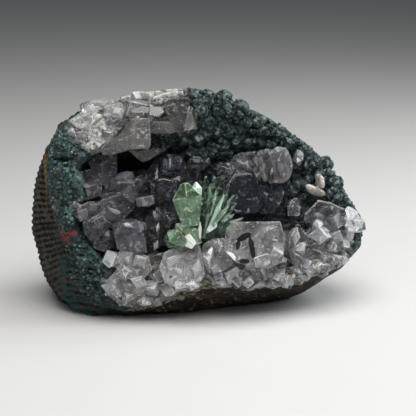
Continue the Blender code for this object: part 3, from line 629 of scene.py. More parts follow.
# facets that stand out: across, down, how milky, how warm
# the pale facets at (113, 134), (126, 178) and (199, 192) are painted highlights; the low tone at (160, 140)
# paints a shadowed block darker
facetTones = {
    "apophyllite_top_blocks": [
        (113, 134, 0.9, 0.6), (105, 150, 0.7, 0.8), (125, 138, 0.75, 0.9), (140, 132, 0.8, 0.9),
        (136, 106, 0.6, 0.4), (158, 112, 0.8, 0.5), (175, 110, 0.5, 0.4), (192, 120, 0.8, 1.0),
        (160, 127, 0.7, 0.7), (160, 140, 0.15, 0.0), (150, 154, 0.45, 0.3)],
    "apophyllite_left_blocks": [
        (105, 170, 0.55, 0.3), (88, 186, 0.45, 0.3), (126, 178, 0.8, 0.2), (115, 208, 0.5, 0.2),
        (146, 200, 0.95, 0.1), (98, 228, 0.5, 0.4), (130, 238, 0.75, 0.1), (158, 228, 0.12, 0.5),
        (164, 190, 0.2, 0.1), (168, 172, 0.15, 0.0), (196, 165, 0.25, 0.0), (106, 240, 0.5, 0.2)],
    "apophyllite_large_crystal": [
        (245, 195, 0.3, 0.0), (245, 165, 0.35, 0.3), (225, 170, 0.05, 0.0), (285, 168, 0.8, 0.5),
        (268, 160, 0.5, 0.5)],
    "apophyllite_front_blocks": [
        (255, 240, 0.6, 0.3), (214, 256, 0.6, 0.2), (183, 266, 0.8, 0.7), (134, 265, 0.7, 0.6),
        (109, 258, 1.0, 0.2), (115, 285, 0.7, 0.4), (140, 294, 0.7, 0.8), (165, 292, 0.7, 0.8)],
    "apophyllite_right_blocks": [
        (297, 250, 0.6, 0.6), (320, 235, 0.9, 0.2), (325, 214, 0.5, 0.3), (355, 218, 0.9, 0.1),
        (318, 258, 0.55, 0.3), (340, 240, 0.5, 0.3)],
    "small_cube_upper": [(300, 156, 0.9, 0.1)],
    "small_cube_lower": [(294, 206, 0.4, 0.1)],
    "stilbite_blades": [(312, 190, 0.95, 0.9), (320, 183, 0.95, 1.0)],
    "green_apophyllite_spray": [(190, 210, 0.6, 0.5), (199, 192, 1.0, 0.0), (183, 238, 0.6, 1.0)]}


def crystalFinish(name, cool, warm, body, density, milkiness, busy, own=False, spots=()):
    f = Finish(name)
    if own:  # each small crystal has its own axes
        f.place = f.make("ShaderNodeAttribute", {"attribute_name": "own"}).outputs["Vector"]
    tone = f.mark("tone")
    cloud = f.grain(8, 5, 0.6, None, 0.8)
    wisps = f.grain(3.6, 5, 0.6, f.stretched((1, 0.6, 1.6), (0.4, 0.9, 0.2)), 1.2)
    lines = f.grain(1.3, 3, 0.6, f.stretched((2.2, 2.2, 0.12), (0.1, 0.05, 0)))
    cracks = f.grain(2.4, 3, 0.5, f.stretched((0.35, 1.0, 1.8), (0.2, 0.7, 0.4)), 1.8)
    # bevelled rims are painted paler: a painted highlight along the edges
    edge = f.mark("rim") * wisps.between(0.44, 0.6)
    milk = (cloud - 0.5) * 1.1 + wisps.between(0.56, 0.64) * 0.35 + (lines - 0.5) * 0.3
    milk = tone * 1.05 + milk * busy + (milkiness - 0.22) + edge * 0.2
    colour = f.stained(
        f.mix(f.mark("warmth"), cool, warm),
        (cloud.between(0.62, 0.35) * busy, shaded(cool, 0.45)),
        (tone.between(0.4, 1.1), shaded(cool, 1.8)),
        (wisps.between(0.54, 0.66) * (0.6 * busy), (0.84, 0.83, 0.82)),
        (lines.between(0.60, 0.40) * (0.35 * busy), shaded(cool, 0.4)),
        (cracks.between(0.62, 0.70) * (0.6 * busy), shaded(cool, 0.12)),
        # tones above 1.05 paint near white; in the green fan these are painted highlights
        (tone.between(1.05, 1.35) * 0.85, (0.86, 0.88, 0.87)),
        (edge * 0.6, tuple(min(c * 3.5, 0.86) for c in cool)))
    for across, down, depth, wide, high, turn, shade in spots:
        blot = f.blot(spot(across, down, depth), (wide, 3.0, high), turn, (wisps - 0.5) * 0.8)
        colour = f.mix(blot, colour, shade)
        milk = milk + blot
    bumped = f.bump(f.grain(6.0, 2, 0.4) * 0.9 + lines * (0.2 if own else 0.06), 0.22, 0.22)
    shine = crystals["darkShine" if density > 100 else "shine"]
    clear = f.shader(Base_Color=(0.97, 0.97, 0.96, 1.0), Roughness=cloud * 0.04 + 0.005, Normal=bumped,
                     IOR=crystals["ior"], Transmission_Weight=1.0, Specular_IOR_Level=shine)
    milky = f.shader(Base_Color=colour, Roughness=cloud * 0.25 + 0.16, IOR=crystals["ior"],
                     Specular_IOR_Level=shine * 0.6, Normal=bumped, Subsurface_Weight=0.7,
                     Subsurface_Radius=(1.0, 1.0, 1.0), Subsurface_Scale=crystals["glow"] * mm)
    shown = f.blend(milk.clamped(), clear, milky)
    through = f.make("ShaderNodeBsdfTransparent", {}, {"Color": crystals["shadow"]}).outputs[0]
    shadow = f.make("ShaderNodeLightPath").outputs["Is Shadow Ray"]
    volume = f.make("ShaderNodeVolumeAbsorption", {}, {"Color": body, "Density": density}).outputs[0]
    return f.done(f.blend(shadow, shown, through), volume)


# the rims it marks get a painted highlight in the crystal finishes
def beveled(bm, edges, width, segments=1):  # rounds edges and marks them as rims
    made = bmesh.ops.bevel(bm, geom=edges, offset=width, segments=segments, profile=0.5,
                           affect="EDGES", material=-1)
    layer = bm.faces.layers.float.get("rim") or bm.faces.layers.float.new("rim")
    for face in made["faces"]:
        face[layer] = 1.0


def refine(bm, longest):  # splits long edges until the mesh is even
    for _ in range(6):
        bmesh.ops.triangulate(bm, faces=[f for f in bm.faces if len(f.verts) > 3])
        long = [e for e in bm.edges if e.calc_length() > longest * mm * 1.4]
        if not long:
            return
        bmesh.ops.subdivide_edges(bm, edges=long, cuts=1, use_grid_fill=True)


def makeCrystals(name, finish, slotName, seed):
    pick = random.Random(seed)
    bm = copyNode(name)
    bmesh.ops.dissolve_limit(bm, angle_limit=math.radians(1.5), verts=bm.verts, edges=bm.edges)
    bm.faces.ensure_lookup_table()
    tone, warmth = [bm.faces.layers.float.new(key) for key in ("tone", "warmth")]
    for face in bm.faces:
        face[tone] = pick.uniform(0.15, 0.65)
        face[warmth] = pick.uniform(0.1, 0.5)
    tree = BVHTree.FromBMesh(bm)
    for across, down, milk, warm in facetTones.get(name, []):
        hit = tree.ray_cast(eye, sight(across, down))
        if hit[2] is not None:
            bm.faces[hit[2]][tone] = milk
            bm.faces[hit[2]][warmth] = warm
    wide, high, least = crystals["terrace"]
    broad = [f for f in bm.faces if f.calc_area() > least * mm * mm and f.normal.y < 0.2]
    bmesh.ops.inset_individual(bm, faces=broad, thickness=wide * mm, depth=high * mm)
    sharp = [e for e in bm.edges if len(e.link_faces) == 2 and e.calc_length() > 1.2 * mm
             and e.calc_face_angle(0) > math.radians(14)]
    bm.faces.layers.float.new("rim")
    beveled(bm, sharp, crystals["bevel"] * mm, 2)
    bmesh.ops.dissolve_degenerate(bm, dist=0.01 * mm, edges=bm.edges)
    refine(bm, crystals["longest"])
    if name == "stilbite_blades":  # the cores of the petals
        middle = sum((v.co for v in bm.verts), Vector()) / len(bm.verts)
        bmesh.ops.scale(bm, verts=bm.verts, vec=(0.6, 0.8, 0.6), space=Matrix.Translation(-middle))
    piece = addObject(name.replace("apophyllite_", "") + "_finished", bm)
    settle(piece, finish, slotName, name)
    print(name, len(piece.data.polygons))
    return piece


# small crystals that fill the hollow's floor and the sill along the front
bed = {"seed": 5, "lean": 0.6, "setLean": 0.35, "setSink": 0.36}
leftBed = [
    (82, 176), (98, 160), (112, 184), (140, 182), (150, 160), (182, 156), (206, 160), (206, 178),
    (180, 182), (176, 246), (150, 256), (120, 250), (92, 246), (76, 222), (74, 204)]
sillBed = [
    (104, 252), (150, 250), (206, 250), (224, 232), (288, 226), (306, 220), (346, 222), (352, 248),
    (344, 263), (320, 275), (292, 284), (262, 288), (232, 284), (206, 283), (190, 291), (160, 300),
    (118, 303), (102, 286)]
beds = [  # name, outline, count, size in mm, sink, crystal
    ("hollow_bed", leftBed, 240, (1.5, 3.8), 0.3, "smoky"),
    ("sill_bed", sillBed, 760, (1.3, 3.4), 0.32, "milky"),
    ("upper_bed", whitePatch, 90, (2.2, 5.2), 0.42, "milky")]
# crystals set one by one: across, down, width, height on the grid, lean in degrees, milky, warm
leftCrystals = [
    # the white crystal at (126, 178) is a painted highlight
    (112, 186, 12, 14, 20, 0.5, 0.2), (126, 178, 15, 9, 5, 1.2, 0.1), (135, 184, 9, 12, -20, 0.3, 0.1),
    (94, 206, 14, 12, 30, 0.4, 0.3), (104, 196, 12, 14, -15, 0.5, 0.2), (83, 214, 9, 10, 10, 0.7, 0.4),
    (134, 210, 14, 14, 35, 0.6, 0.2), (146, 201, 16, 8, 10, 0.9, 0.0), (130, 194, 18, 14, 35, 0.5, 0.1),
    (120, 226, 12, 10, -25, 0.35, 0.2), (140, 226, 13, 12, 15, 0.6, 0.1), (92, 190, 13, 12, 15, 0.5, 0.3),
    (100, 222, 14, 13, -20, 0.6, 0.3), (112, 214, 14, 15, 25, 0.5, 0.1), (132, 240, 18, 15, 5, 0.6, 0.2),
    (104, 166, 15, 15, 12, 0.7, 0.5)]
# the white crystals at (155, 106), (155, 215), (158, 229) and (156, 245) are painted highlights
setCrystals = [
    (156, 245, 4, 8, -25, 0.9, 0.5), (155, 215, 3, 9, 15, 1.1, 0.1), (158, 229, 3, 9, -10, 1.1, 0.1),
    (129, 226, 9, 4, -20, 1.0, 0.1), (124, 112, 10, 13, 10, 1.1, 0.1), (200, 136, 9, 9, 20, 0.9, 0.8),
    (136, 104, 17, 12, 10, 0.7, 0.3), (155, 106, 12, 8, -20, 1.1, 0.2), (112, 258, 10, 12, 20, 1.0, 0.1),
    (126, 256, 12, 10, -10, 0.8, 0.3), (140, 262, 12, 12, 30, 0.7, 0.6), (124, 274, 12, 12, 10, 0.6, 0.5),
    (138, 282, 14, 10, -20, 0.8, 0.8), (152, 290, 12, 10, 15, 0.9, 0.7), (114, 292, 10, 12, 15, 0.6, 0.3),
    (128, 296, 12, 9, -15, 0.7, 0.6), (145, 300, 12, 7, 10, 0.8, 0.9), (168, 290, 12, 10, -10, 0.8, 0.8),
    (160, 276, 10, 10, 35, 0.6, 0.5), (182, 286, 14, 8, 10, 0.9, 0.8), (198, 268, 8, 16, -10, 1.0, 0.6),
    (172, 262, 12, 14, 15, 0.9, 0.7), (188, 252, 14, 10, 0, 0.5, 0.5), (208, 262, 8, 14, 15, 0.8, 0.2),
    (216, 268, 10, 8, -20, 0.7, 0.3), (222, 246, 8, 12, 10, 0.5, 0.1), (262, 260, 14, 10, 15, 0.8, 0.2),
    (276, 252, 10, 14, -15, 0.9, 0.2), (272, 232, 12, 10, 10, 0.5, 0.2), (246, 268, 12, 8, -10, 0.7, 0.5),
    (284, 262, 10, 12, 25, 0.7, 0.3), (288, 240, 8, 16, 20, 0.5, 0.6), (296, 236, 7, 14, -15, 0.8, 0.6),
    (302, 250, 10, 12, 30, 0.6, 0.4), (292, 262, 10, 10, 10, 0.8, 0.2), (308, 264, 10, 8, -20, 0.7, 0.3),
    (316, 226, 8, 12, 40, 1.0, 0.1), (322, 236, 12, 12, 35, 0.9, 0.1), (330, 246, 12, 10, 15, 0.6, 0.3),
    (312, 244, 10, 8, -30, 0.6, 0.2), (338, 236, 10, 10, 20, 0.7, 0.2), (346, 244, 8, 10, -20, 0.6, 0.2),
    (336, 220, 12, 12, 30, 0.6, 0.2), (352, 214, 12, 12, 25, 1.1, 0.0), (358, 224, 11, 12, -10, 1.0, 0.1),
    (299, 156, 6, 10, 20, 0.6, 0.1), (205, 278, 13, 10, 20, 0.8, 0.5), (220, 281, 14, 10, -25, 0.8, 0.3),
    (240, 284, 13, 9, 20, 0.7, 0.5), (256, 284, 14, 9, -15, 0.8, 0.4), (274, 283, 13, 9, 10, 0.7, 0.3),
    (290, 280, 13, 9, -20, 0.8, 0.4), (306, 277, 12, 8, 15, 0.7, 0.3), (322, 271, 11, 8, -10, 0.6, 0.4),
    (234, 276, 14, 12, 15, 0.9, 0.2), (248, 280, 12, 10, -10, 0.7, 0.3), (260, 276, 13, 12, 30, 0.9, 0.2),
    (272, 279, 12, 9, -20, 0.7, 0.3), (284, 274, 12, 11, 15, 0.8, 0.2), (297, 272, 12, 10, -15, 0.8, 0.4),
    (310, 272, 11, 8, 25, 0.7, 0.3), (324, 266, 11, 9, -10, 0.7, 0.3), (336, 260, 10, 8, 20, 0.6, 0.3),
    (192, 284, 11, 8, -15, 0.9, 0.7), (350, 232, 8, 8, 30, 0.8, 0.1), (328, 258, 12, 8, -15, 0.5, 0.4),
    (318, 266, 12, 7, 5, 0.6, 0.5)]
darkCrystals = [
    (108, 236, 12, 9, -30, 0.3, 0.1), (96, 238, 10, 8, 15, 0.2, 0.1), (161, 210, 12, 12, 30, 0.1, 0.2),
    (168, 222, 9, 14, 5, 0.1, 0.2), (152, 224, 9, 12, -15, 0.15, 0.2), (156, 186, 12, 10, 25, 0.3, 0.0),
    (170, 192, 11, 10, -25, 0.3, 0.0), (142, 172, 12, 9, 30, 0.35, 0.1), (186, 149, 11, 9, 10, 0.5, 0.2),
    # the dark crystal at (160, 141) is painted shade on a shadowed block
    (196, 164, 13, 13, 40, 0.3, 0.0), (167, 166, 27, 25, 45, 0.15, 0.0), (160, 141, 17, 13, 8, 0.05, 0.0),
    (122, 206, 12, 14, 20, 0.3, 0.1), (84, 178, 10, 10, 35, 0.2, 0.1), (105, 133, 10, 13, 10, 0.3, 0.0),
    (286, 226, 7, 14, 5, 0.2, 0.1), (306, 227, 10, 14, 10, 0.2, 0.1), (344, 217, 4, 11, -15, 0.1, 0.0),
    (294, 191, 11, 10, 30, 0.4, 0.8), (262, 216, 12, 8, 15, 0.2, 0.1), (225, 172, 19, 19, 25, 0.1, 0.0)]
darkHoles = [  # kept free of scattered crystals: across, down, radius
    (80, 108, 6), (244, 247, 15), (126, 165, 12), (152, 162, 8), (98, 238, 6), (158, 246, 7),
    (282, 214, 10)]


def coneTemplate(sides, foot, top, depth, edge, segments=1, tip=None):  # many-sided, rounded, maybe pointed
    bm = bmesh.new()
    bm.faces.layers.float.new("rim")
    bmesh.ops.create_cone(bm, cap_ends=True, segments=sides, radius1=foot, radius2=top, depth=depth)
    if tip:  # how far the point draws in and reaches out
        upper = [f for f in bm.faces if f.normal.z > 0.9]
        bmesh.ops.inset_individual(bm, faces=upper, thickness=tip[0], depth=tip[1])
    beveled(bm, list(bm.edges), edge, segments)
    bmesh.ops.recalc_face_normals(bm, faces=bm.faces)
    return bm


def prismTemplate(taper):  # a square prism with a blunt pointed end
    return coneTemplate(4, 0.7, 0.7, 1.3, 0.035, tip=(taper, 0.25))


def cubeTemplate(cut, edge=0.03):  # a cube with its corners cut off
    bm = bmesh.new()
    bm.faces.layers.float.new("rim")
    bmesh.ops.create_cube(bm, size=1.1)
    bmesh.ops.bevel(bm, geom=list(bm.verts), offset=cut, segments=1, profile=0.5, affect="VERTICES",
                    material=-1)
    if edge:
        beveled(bm, list(bm.edges), edge)
    bmesh.ops.recalc_face_normals(bm, faces=bm.faces)
    return bm


def seated(tree, across, down, turn, shape, sink):  # the matrix of a shape standing on a surface
    point, normal, _, _ = tree.ray_cast(eye, sight(across, down))
    if point is None:
        return None
    return Matrix.Translation(point - normal * sink) @ facing(normal) @ turn @ shape


def scattered(pick, count, outline, tree, size, sink, lean):
    low = [min(p[i] for p in outline) for i in (0, 1)]
    high = [max(p[i] for p in outline) for i in (0, 1)]
    found = []
    for _ in range(count):
        across, down = pick.uniform(low[0], high[0]), pick.uniform(low[1], high[1])
        turn = turned(pick.gauss(0, lean), "X") @ turned(pick.gauss(0, lean), "Y")
        turn = turn @ turned(pick.uniform(0, math.tau), "Z")
        width = pick.uniform(*size) * mm
        shape = Matrix.Diagonal((width, width * pick.uniform(0.7, 1.3), width * pick.uniform(0.8, 1.5), 1))
        if not within(outline, np.array([across]), np.array([down]))[0]:
            continue
        if any(math.hypot(across - a, down - d) < near for a, d, near in darkHoles):
            continue
        matrix = seated(tree, across, down, turn, shape, width * sink)
        if matrix is not None and matrix.translation.z > width:  # nothing reaches below the floor
            found.append(matrix)
    return found


def shared(pick, matrices, templates):  # hands the places out to the templates
    hands = [[] for _ in templates]
    for matrix in matrices:
        hands[pick.randrange(len(templates))].append(matrix)
    return list(zip(templates, hands))


def makeBed(name, outline, count, size, sink, finish):
    pick = random.Random(bed["seed"] + count)
    tree = treeOf(rockPiece, liningPiece)
    matrices = scattered(pick, count, outline, tree, size, sink, bed["lean"])
    templates = [prismTemplate(0.3), cubeTemplate(0.28), prismTemplate(0.55), cubeTemplate(0.12)]
    piece, owners = tiled(name, shared(pick, matrices, templates))
    tones = np.array([pick.uniform(0.2, 1.0) for _ in matrices])
    paintFaces(piece.data, tone=tones[owners], warmth=tones[::-1][owners])
    settle(piece, finish, "apophyllite_front_blocks_crystal")
    print(name, len(matrices))


def makeSetCrystals(name, chosenCrystals, finish):
    pick = random.Random(bed["seed"] + len(chosenCrystals))
    tree = treeOf(rockPiece, liningPiece, *crystalPieces)
    matrices, milky, warm = [], [], []
    for across, down, wide, high, lean, milk, warmth in chosenCrystals:
        turn = turned(math.radians(lean), "Z") @ turned(pick.gauss(0, bed["setLean"]), "X")
        turn = turn @ turned(pick.gauss(0, bed["setLean"]), "Y")
        longest = max(wide, high) * grid["step"]
        shape = Matrix.Diagonal((wide * grid["step"] * 0.95, high * grid["step"] * 0.95, longest * 0.8, 1))
        matrix = seated(tree, across, down, turn, shape, longest * bed["setSink"])
        if matrix is not None:
            matrices.append(matrix)
            milky.append(milk)
            warm.append(warmth)
    half = len(matrices) // 2
    order = list(range(len(matrices)))
    pick.shuffle(order)
    piece, owners = tiled(name, [(prismTemplate(0.35), [matrices[i] for i in order[:half]]),
                                 (cubeTemplate(0.16), [matrices[i] for i in order[half:]])])
    chosen = np.array(order)[owners]
    jitter = np.array([pick.uniform(-0.22, 0.22) for _ in piece.data.polygons])
    tones = np.clip(np.array(milky)[chosen] + jitter, 0, 1)
    paintFaces(piece.data, tone=tones, warmth=np.array(warm)[chosen])
    settle(piece, finish, "apophyllite_front_blocks_crystal")
    print(name, len(matrices))


# grains: druse sparkle, rind, upper crust and the rusty band
grains = {"seed": 21, "lean": 0.8}
leftRind = [
    (60, 132), (84, 150), (74, 168), (82, 184), (78, 204), (72, 222), (88, 240), (100, 262), (108, 282),
    (100, 306), (84, 296), (70, 276), (66, 250), (58, 222), (50, 200), (46, 170), (50, 146)]
rightRind = [(348, 210), (362, 216), (364, 236), (354, 256), (338, 268), (330, 262), (346, 246)]
grainSets = [  # name, outline, count, size in mm, sink, look
    ("druse_sparkle", drusePatch, 2600, (0.45, 0.95), 0.15, "druse"),
    ("rind_grains", leftRind, 1300, (0.5, 1.1), 0.2, "rind"),
    ("right_rind_grains", rightRind, 200, (0.5, 1.1), 0.2, "rind"),
    ("upper_crust_grains", whitePatch, 800, (0.3, 0.9), 0.25, "crust"),
    ("rusty_band_grains", rustPatch, 320, (0.4, 1.3), 0.3, "band")]
grainLooks = {  # shades from dark to pale, roughness, how clear
    "druse": ([(0.006, 0.014, 0.018), (0.014, 0.034, 0.042), (0.035, 0.065, 0.072), (0.16, 0.22, 0.22)],
              0.12, 0.15),
    "rind": ([(0.004, 0.010, 0.012), (0.018, 0.050, 0.052), (0.045, 0.105, 0.10), (0.20, 0.27, 0.25)],
             0.35, 0.0),
    "crust": ([(0.10, 0.11, 0.10), (0.30, 0.29, 0.27), (0.46, 0.45, 0.42), (0.62, 0.61, 0.58)], 0.25, 0.15),
    "band": ([(0.014, 0.012, 0.011), (0.09, 0.06, 0.032), (0.16, 0.12, 0.075), (0.22, 0.19, 0.15)],
             0.4, 0.0)}


def grainFinish(name, shades, rough, clear):
    f = Finish(name)
    tone = f.mark("tone")
    fine = f.grain(0.7, 3, 0.6)
    wide = f.grain(6, 4, 0.6)
    pick = tone * 0.6 + (wide - 0.5) * 1.2 + fine * 0.3
    steps = [(n / (len(shades) - 1) * 0.8 + 0.1, shade) for n, shade in enumerate(shades)]
    base = f.ramp(pick.clamped(), steps)
    return f.done(f.shader(Base_Color=base, Roughness=fine * 0.4 + rough, Transmission_Weight=clear,
                           IOR=crystals["ior"], Normal=f.bump(fine, 0.4, 0.1)))


def makeGrains():
    pick = random.Random(grains["seed"])
    tree = treeOf(rockPiece, liningPiece)
    looks = {key: grainFinish(key + "_grain", *look) for key, look in grainLooks.items()}
    for name, outline, count, size, sink, key in grainSets:
        matrices = scattered(pick, count, outline, tree, size, sink, grains["lean"])
        piece, owners = tiled(name, [(cubeTemplate(0.32, 0), matrices)])
        tones = np.array([pick.random() for _ in matrices])
        paintFaces(piece.data, tone=tones[owners])
        settle(piece, looks[key], "celadonite_chalcedony")
        print(name, len(matrices))


# tints: cool, warm, body colour, absorption, how milky, how busy with flaws
crystalTints = {
    "clear": ((0.23, 0.24, 0.26), (0.34, 0.31, 0.27), (0.68, 0.68, 0.72), 90, 0.02, 0.9),
    "top": ((0.145, 0.145, 0.15), (0.23, 0.205, 0.175), (0.66, 0.65, 0.64), 90, 0.05, 0.8),
    "milky": ((0.31, 0.32, 0.34), (0.56, 0.50, 0.42), (0.80, 0.79, 0.77), 60, 0.06, 0.9),
    "smoky": ((0.088, 0.088, 0.104), (0.16, 0.15, 0.135), (0.50, 0.50, 0.55), 110, 0.30, 0.42),
    "violet": ((0.023, 0.031, 0.047), (0.31, 0.29, 0.27), (0.43, 0.47, 0.60), 180, 0.34, 0.55),
    "green": ((0.14, 0.235, 0.165), (0.32, 0.385, 0.225), (0.55, 0.73, 0.59), 180, 0.14, 0.7),
    "layer": ((0.065, 0.070, 0.082), (0.30, 0.28, 0.25), (0.6, 0.6, 0.65), 120, 0.30, 0.8),
    "stilbite": ((0.34, 0.32, 0.29), (0.32, 0.26, 0.22), (0.8, 0.75, 0.7), 80, 0.1, 1.1)}
# marks inside the front blocks, mostly inclusions and stains: across, down, depth, half width, half height
# in mm, turn, colour
inclusionsHighlightsAndGapShade = [
    (244.5, 237, -31, 4.3, 1.5, -22, (0.012, 0.014, 0.018)),
    (238, 244, -31.5, 1.1, 2.8, 8, (0.02, 0.02, 0.025)),
    (252, 248, -31, 1.3, 6.0, -10, (0.02, 0.02, 0.025)),
    # the white marks at (230, 256) and (209, 254) are painted highlights; the dark mark at (150, 262) is
    # painted shade in a gap
    (244, 261, -33, 2.9, 1.2, 4, (0.015, 0.018, 0.028)), (230, 256, -34, 3.0, 1.6, 38, (0.92, 0.92, 0.92)),
    (209, 254, -30, 1.0, 3.6, 24, (0.95, 0.95, 0.95)), (109, 258, -18, 2.6, 2.6, 0, (0.92, 0.92, 0.91)),
    (150, 262, -27, 3.0, 1.6, 30, (0.05, 0.045, 0.045)), (171, 276, -31, 0.9, 0.9, 0, (0.14, 0.08, 0.045)),
    (194, 267, -31, 0.9, 0.8, 0, (0.16, 0.05, 0.03)), (138, 282, -27, 1.0, 0.8, 0, (0.14, 0.09, 0.05))]
rockPiece = makeRock()
liningPiece = makeLining()
finishes = {key: crystalFinish(key + "_crystal", *tint) for key, tint in crystalTints.items()
            if key != "milky"}
finishes["milky"] = crystalFinish("marked_milky_crystal", *crystalTints["milky"], spots=inclusionsHighlightsAndGapShade)
ownFinishes = {key: crystalFinish(key + "_grown", *crystalTints[key], own=True)
               for key in ("milky", "smoky", "violet", "layer", "green", "stilbite")}
groups = [("apophyllite_top_blocks", "top"), ("apophyllite_left_blocks", "smoky"),
          ("apophyllite_large_crystal", "violet"), ("apophyllite_front_blocks", "milky"),
          ("apophyllite_right_blocks", "clear"), ("green_apophyllite_spray", "green"),
          ("small_cube_upper", "clear"), ("small_cube_lower", "clear"), ("stilbite_blades", "stilbite")]
crystalPieces = [makeCrystals(name, finishes[key], name + "_crystal", n)
                 for n, (name, key) in enumerate(groups)]
makeGrains()
for name, outline, count, size, sink, key in beds:
    makeBed(name, outline, count, size, sink, ownFinishes[key])
for name, rows, key in (("set_crystals", setCrystals, "milky"), ("left_set_crystals", leftCrystals, "smoky"),
                        ("dark_crystals", darkCrystals, "violet")):
    makeSetCrystals(name, rows, ownFinishes[key])


# blades: the green fan, the curved layers on the large crystal and the stilbite petals
fan = {"seed": 31, "wide": 0.56, "thick": 0.17, "jitter": 0.25}
blades = [  # base across, down, tip across, down, width, base depth, tip depth, milky, warm
    # rows with milky from 1.15 to 1.4 are white ribbons that paint highlights
    (203, 238, 206, 176, 8, -27, -16.5, 0.30, 0.1), (203, 238, 214.5, 176.5, 8, -27.5, -18, 0.20, 0.0),
    (204, 238, 222, 177, 9, -27.5, -19, 0.30, 0.1), (204, 238, 230, 185, 9, -27.5, -19.5, 0.15, 0.0),
    (205, 239, 234.5, 195, 9, -27.5, -19.5, 0.30, 0.1), (206, 239, 234, 206, 8, -27.5, -20.5, 0.20, 0.0),
    (207, 240, 243, 218, 8, -27.5, -20, 0.45, 0.2), (206, 240, 238, 226, 7, -27.5, -22, 0.35, 0.1),
    (202, 238, 200, 180, 9, -27, -18.5, 0.2, 0.0), (203, 238, 210, 184, 7, -29, -21, 0.55, 0.1),
    (204, 238, 218, 187, 6, -29, -22, 0.25, 0.0), (205, 238, 227, 194, 6, -29, -22.5, 0.5, 0.1),
    (205, 238, 231, 202, 5, -29, -23, 0.2, 0.0), (206, 238, 230, 213, 6, -29, -23.5, 0.5, 0.1),
    (207, 233, 224, 195, 4, -30, -24.5, 1.15, 0.0), (208, 231, 217, 222, 6, -30.5, -27.5, 1.4, 0.0),
    (203, 238, 205, 196, 5, -29.5, -24, 0.1, 0.0), (204, 238, 213, 200, 4, -30, -25, 0.5, 0.2),
    (210, 232, 222, 208, 4, -30, -25.5, 0.2, 0.0), (213, 226, 229, 205, 4, -29.5, -24.5, 0.7, 0.3),
    (202, 232, 203, 206, 4, -30, -26, 0.0, 0.0), (211, 216, 216, 190, 3, -27.5, -23, 0.7, 0.0),
    (222, 222, 234, 214, 4, -27, -23, 0.7, 0.2), (200, 240, 200, 222, 3, -31, -29, 1.4, 0.0),
    (206, 238, 226, 222, 5, -29.5, -25, 0.3, 0.1), (198, 202, 196, 182, 9, -27, -20.5, 1.3, 0.0),
    (191, 226, 185, 183, 26, -28.5, -25.5, 0.6, 0.5), (193, 226, 197, 192, 13, -28, -24.5, 0.5, 0.3),
    (187, 226, 177, 196, 10, -28.5, -25, 0.75, 0.6), (186, 244, 168, 232, 13, -32, -28.5, 0.8, 0.9),
    (196, 244, 176, 224, 14, -31, -27.5, 0.6, 0.9), (194, 246, 182, 236, 12, -33, -29.5, 1.3, 0.6),
    (199, 244, 190, 226, 10, -31.5, -28, 0.7, 0.8)]
layers = [  # across, down, width, height in squares, thickness in mm, depth, yaw, pitch, milky, warm
    (280, 165, 29, 36, 2.8, -9.0, 30, 12, 0.75, 1.0), (284, 163, 18, 30, 1.4, -10.0, 40, 6, 0.85, 1.0),
    (275, 168, 22, 29, 1.6, -10.6, 20, 18, 0.35, 0.9), (269, 166, 13, 35, 2.6, -11.6, 30, 18, 0.4, 0.0),
    (263, 167, 9, 29, 2.4, -12.2, 26, 22, 0.6, 0.7), (257, 168, 8, 24, 2.2, -12.8, 20, 24, 0.4, 0.1)]
slabs = [  # as the layers
    (269, 190, 32, 50, 9.0, -6.6, 16, 14, 0.42, 0.0), (248, 162, 40, 22, 5.0, -7.5, -14, 30, 0.15, 0.1)]
petals = [  # as the layers, with a turn in the picture plane before the last two
    (315, 191, 21, 9, 3.0, 1.7, 10, 10, 24, 0.9, 0.2), (317, 192, 18, 8, 2.0, 0.7, 16, 18, 17, 0.6, 0.7),
    (312, 189, 15, 7, 2.0, 0.8, 2, 2, 31, 1.1, 0.1), (320, 181, 8, 16, 2.6, 3.2, 20, 10, -10, 0.7, 1.0),
    (322, 182, 6, 13, 1.8, 2.3, 28, 14, -2, 0.9, 0.4), (318, 180, 5, 13, 1.8, 2.4, 10, 6, -18, 0.5, 0.9)]


def bladeTemplate():  # a flat blade, one long, widest past its middle, pointed at its tip
    bm = coneTemplate(6, 0.28, 0.5, 0.66, 0.02, tip=(0.40, 0.34))
    bmesh.ops.translate(bm, verts=bm.verts, vec=(0, 0, 0.33))
    return bm


def lensTemplate():  # a curved layer, round in outline and thin
    bm = bmesh.new()
    bmesh.ops.create_uvsphere(bm, u_segments=28, v_segments=14, radius=0.5)
    return bm


def slabTemplate():  # a seven-sided slab, narrower in front
    return coneTemplate(7, 0.52, 0.38, 1.0, 0.025, 2)


def thinLayer(across, down, wide, high, thick, depth, yaw, pitch, spin=0.0):  # the matrix of a layer
    turn = turned(math.radians(yaw), "Z") @ turned(math.radians(90 - pitch), "X")
    turn = turn @ turned(math.radians(-spin), "Z")
    shape = Matrix.Diagonal((wide * grid["step"], high * grid["step"], thick * mm, 1))
    return Matrix.Translation(spot(across, down, depth)) @ turn @ shape


def paintRows(piece, owners, rows, jitter=0.0):  # every shape takes its row's last two values
    paintFaces(piece.data, tone=np.array([row[-2] for row in rows])[owners] + jitter,
               warmth=np.array([row[-1] for row in rows])[owners])


def makeFan():
    matrices = []
    for across, down, tipAcross, tipDown, wide, depth, tipDepth, _, _ in blades:
        base, tip = spot(across, down, depth), spot(tipAcross, tipDown, tipDepth)
        long = tip - base
        side = long.cross(ahead).normalized()
        flat = side.cross(long).normalized()
        scale = (side * wide * fan["wide"] * mm, flat * wide * fan["thick"] * mm, long)
        matrices.append(Matrix([(*(column[i] for column in scale), base[i]) for i in range(3)]
                               + [(0, 0, 0, 1)]))
    piece, owners = tiled("green_blades", [(bladeTemplate(), matrices)])
    pick = random.Random(fan["seed"])
    jitter = np.array([pick.uniform(-fan["jitter"], fan["jitter"]) for _ in piece.data.polygons])
    paintRows(piece, owners, blades, jitter)
    settle(piece, ownFinishes["green"], "green_apophyllite_spray_crystal")
    print("green blades", len(matrices))


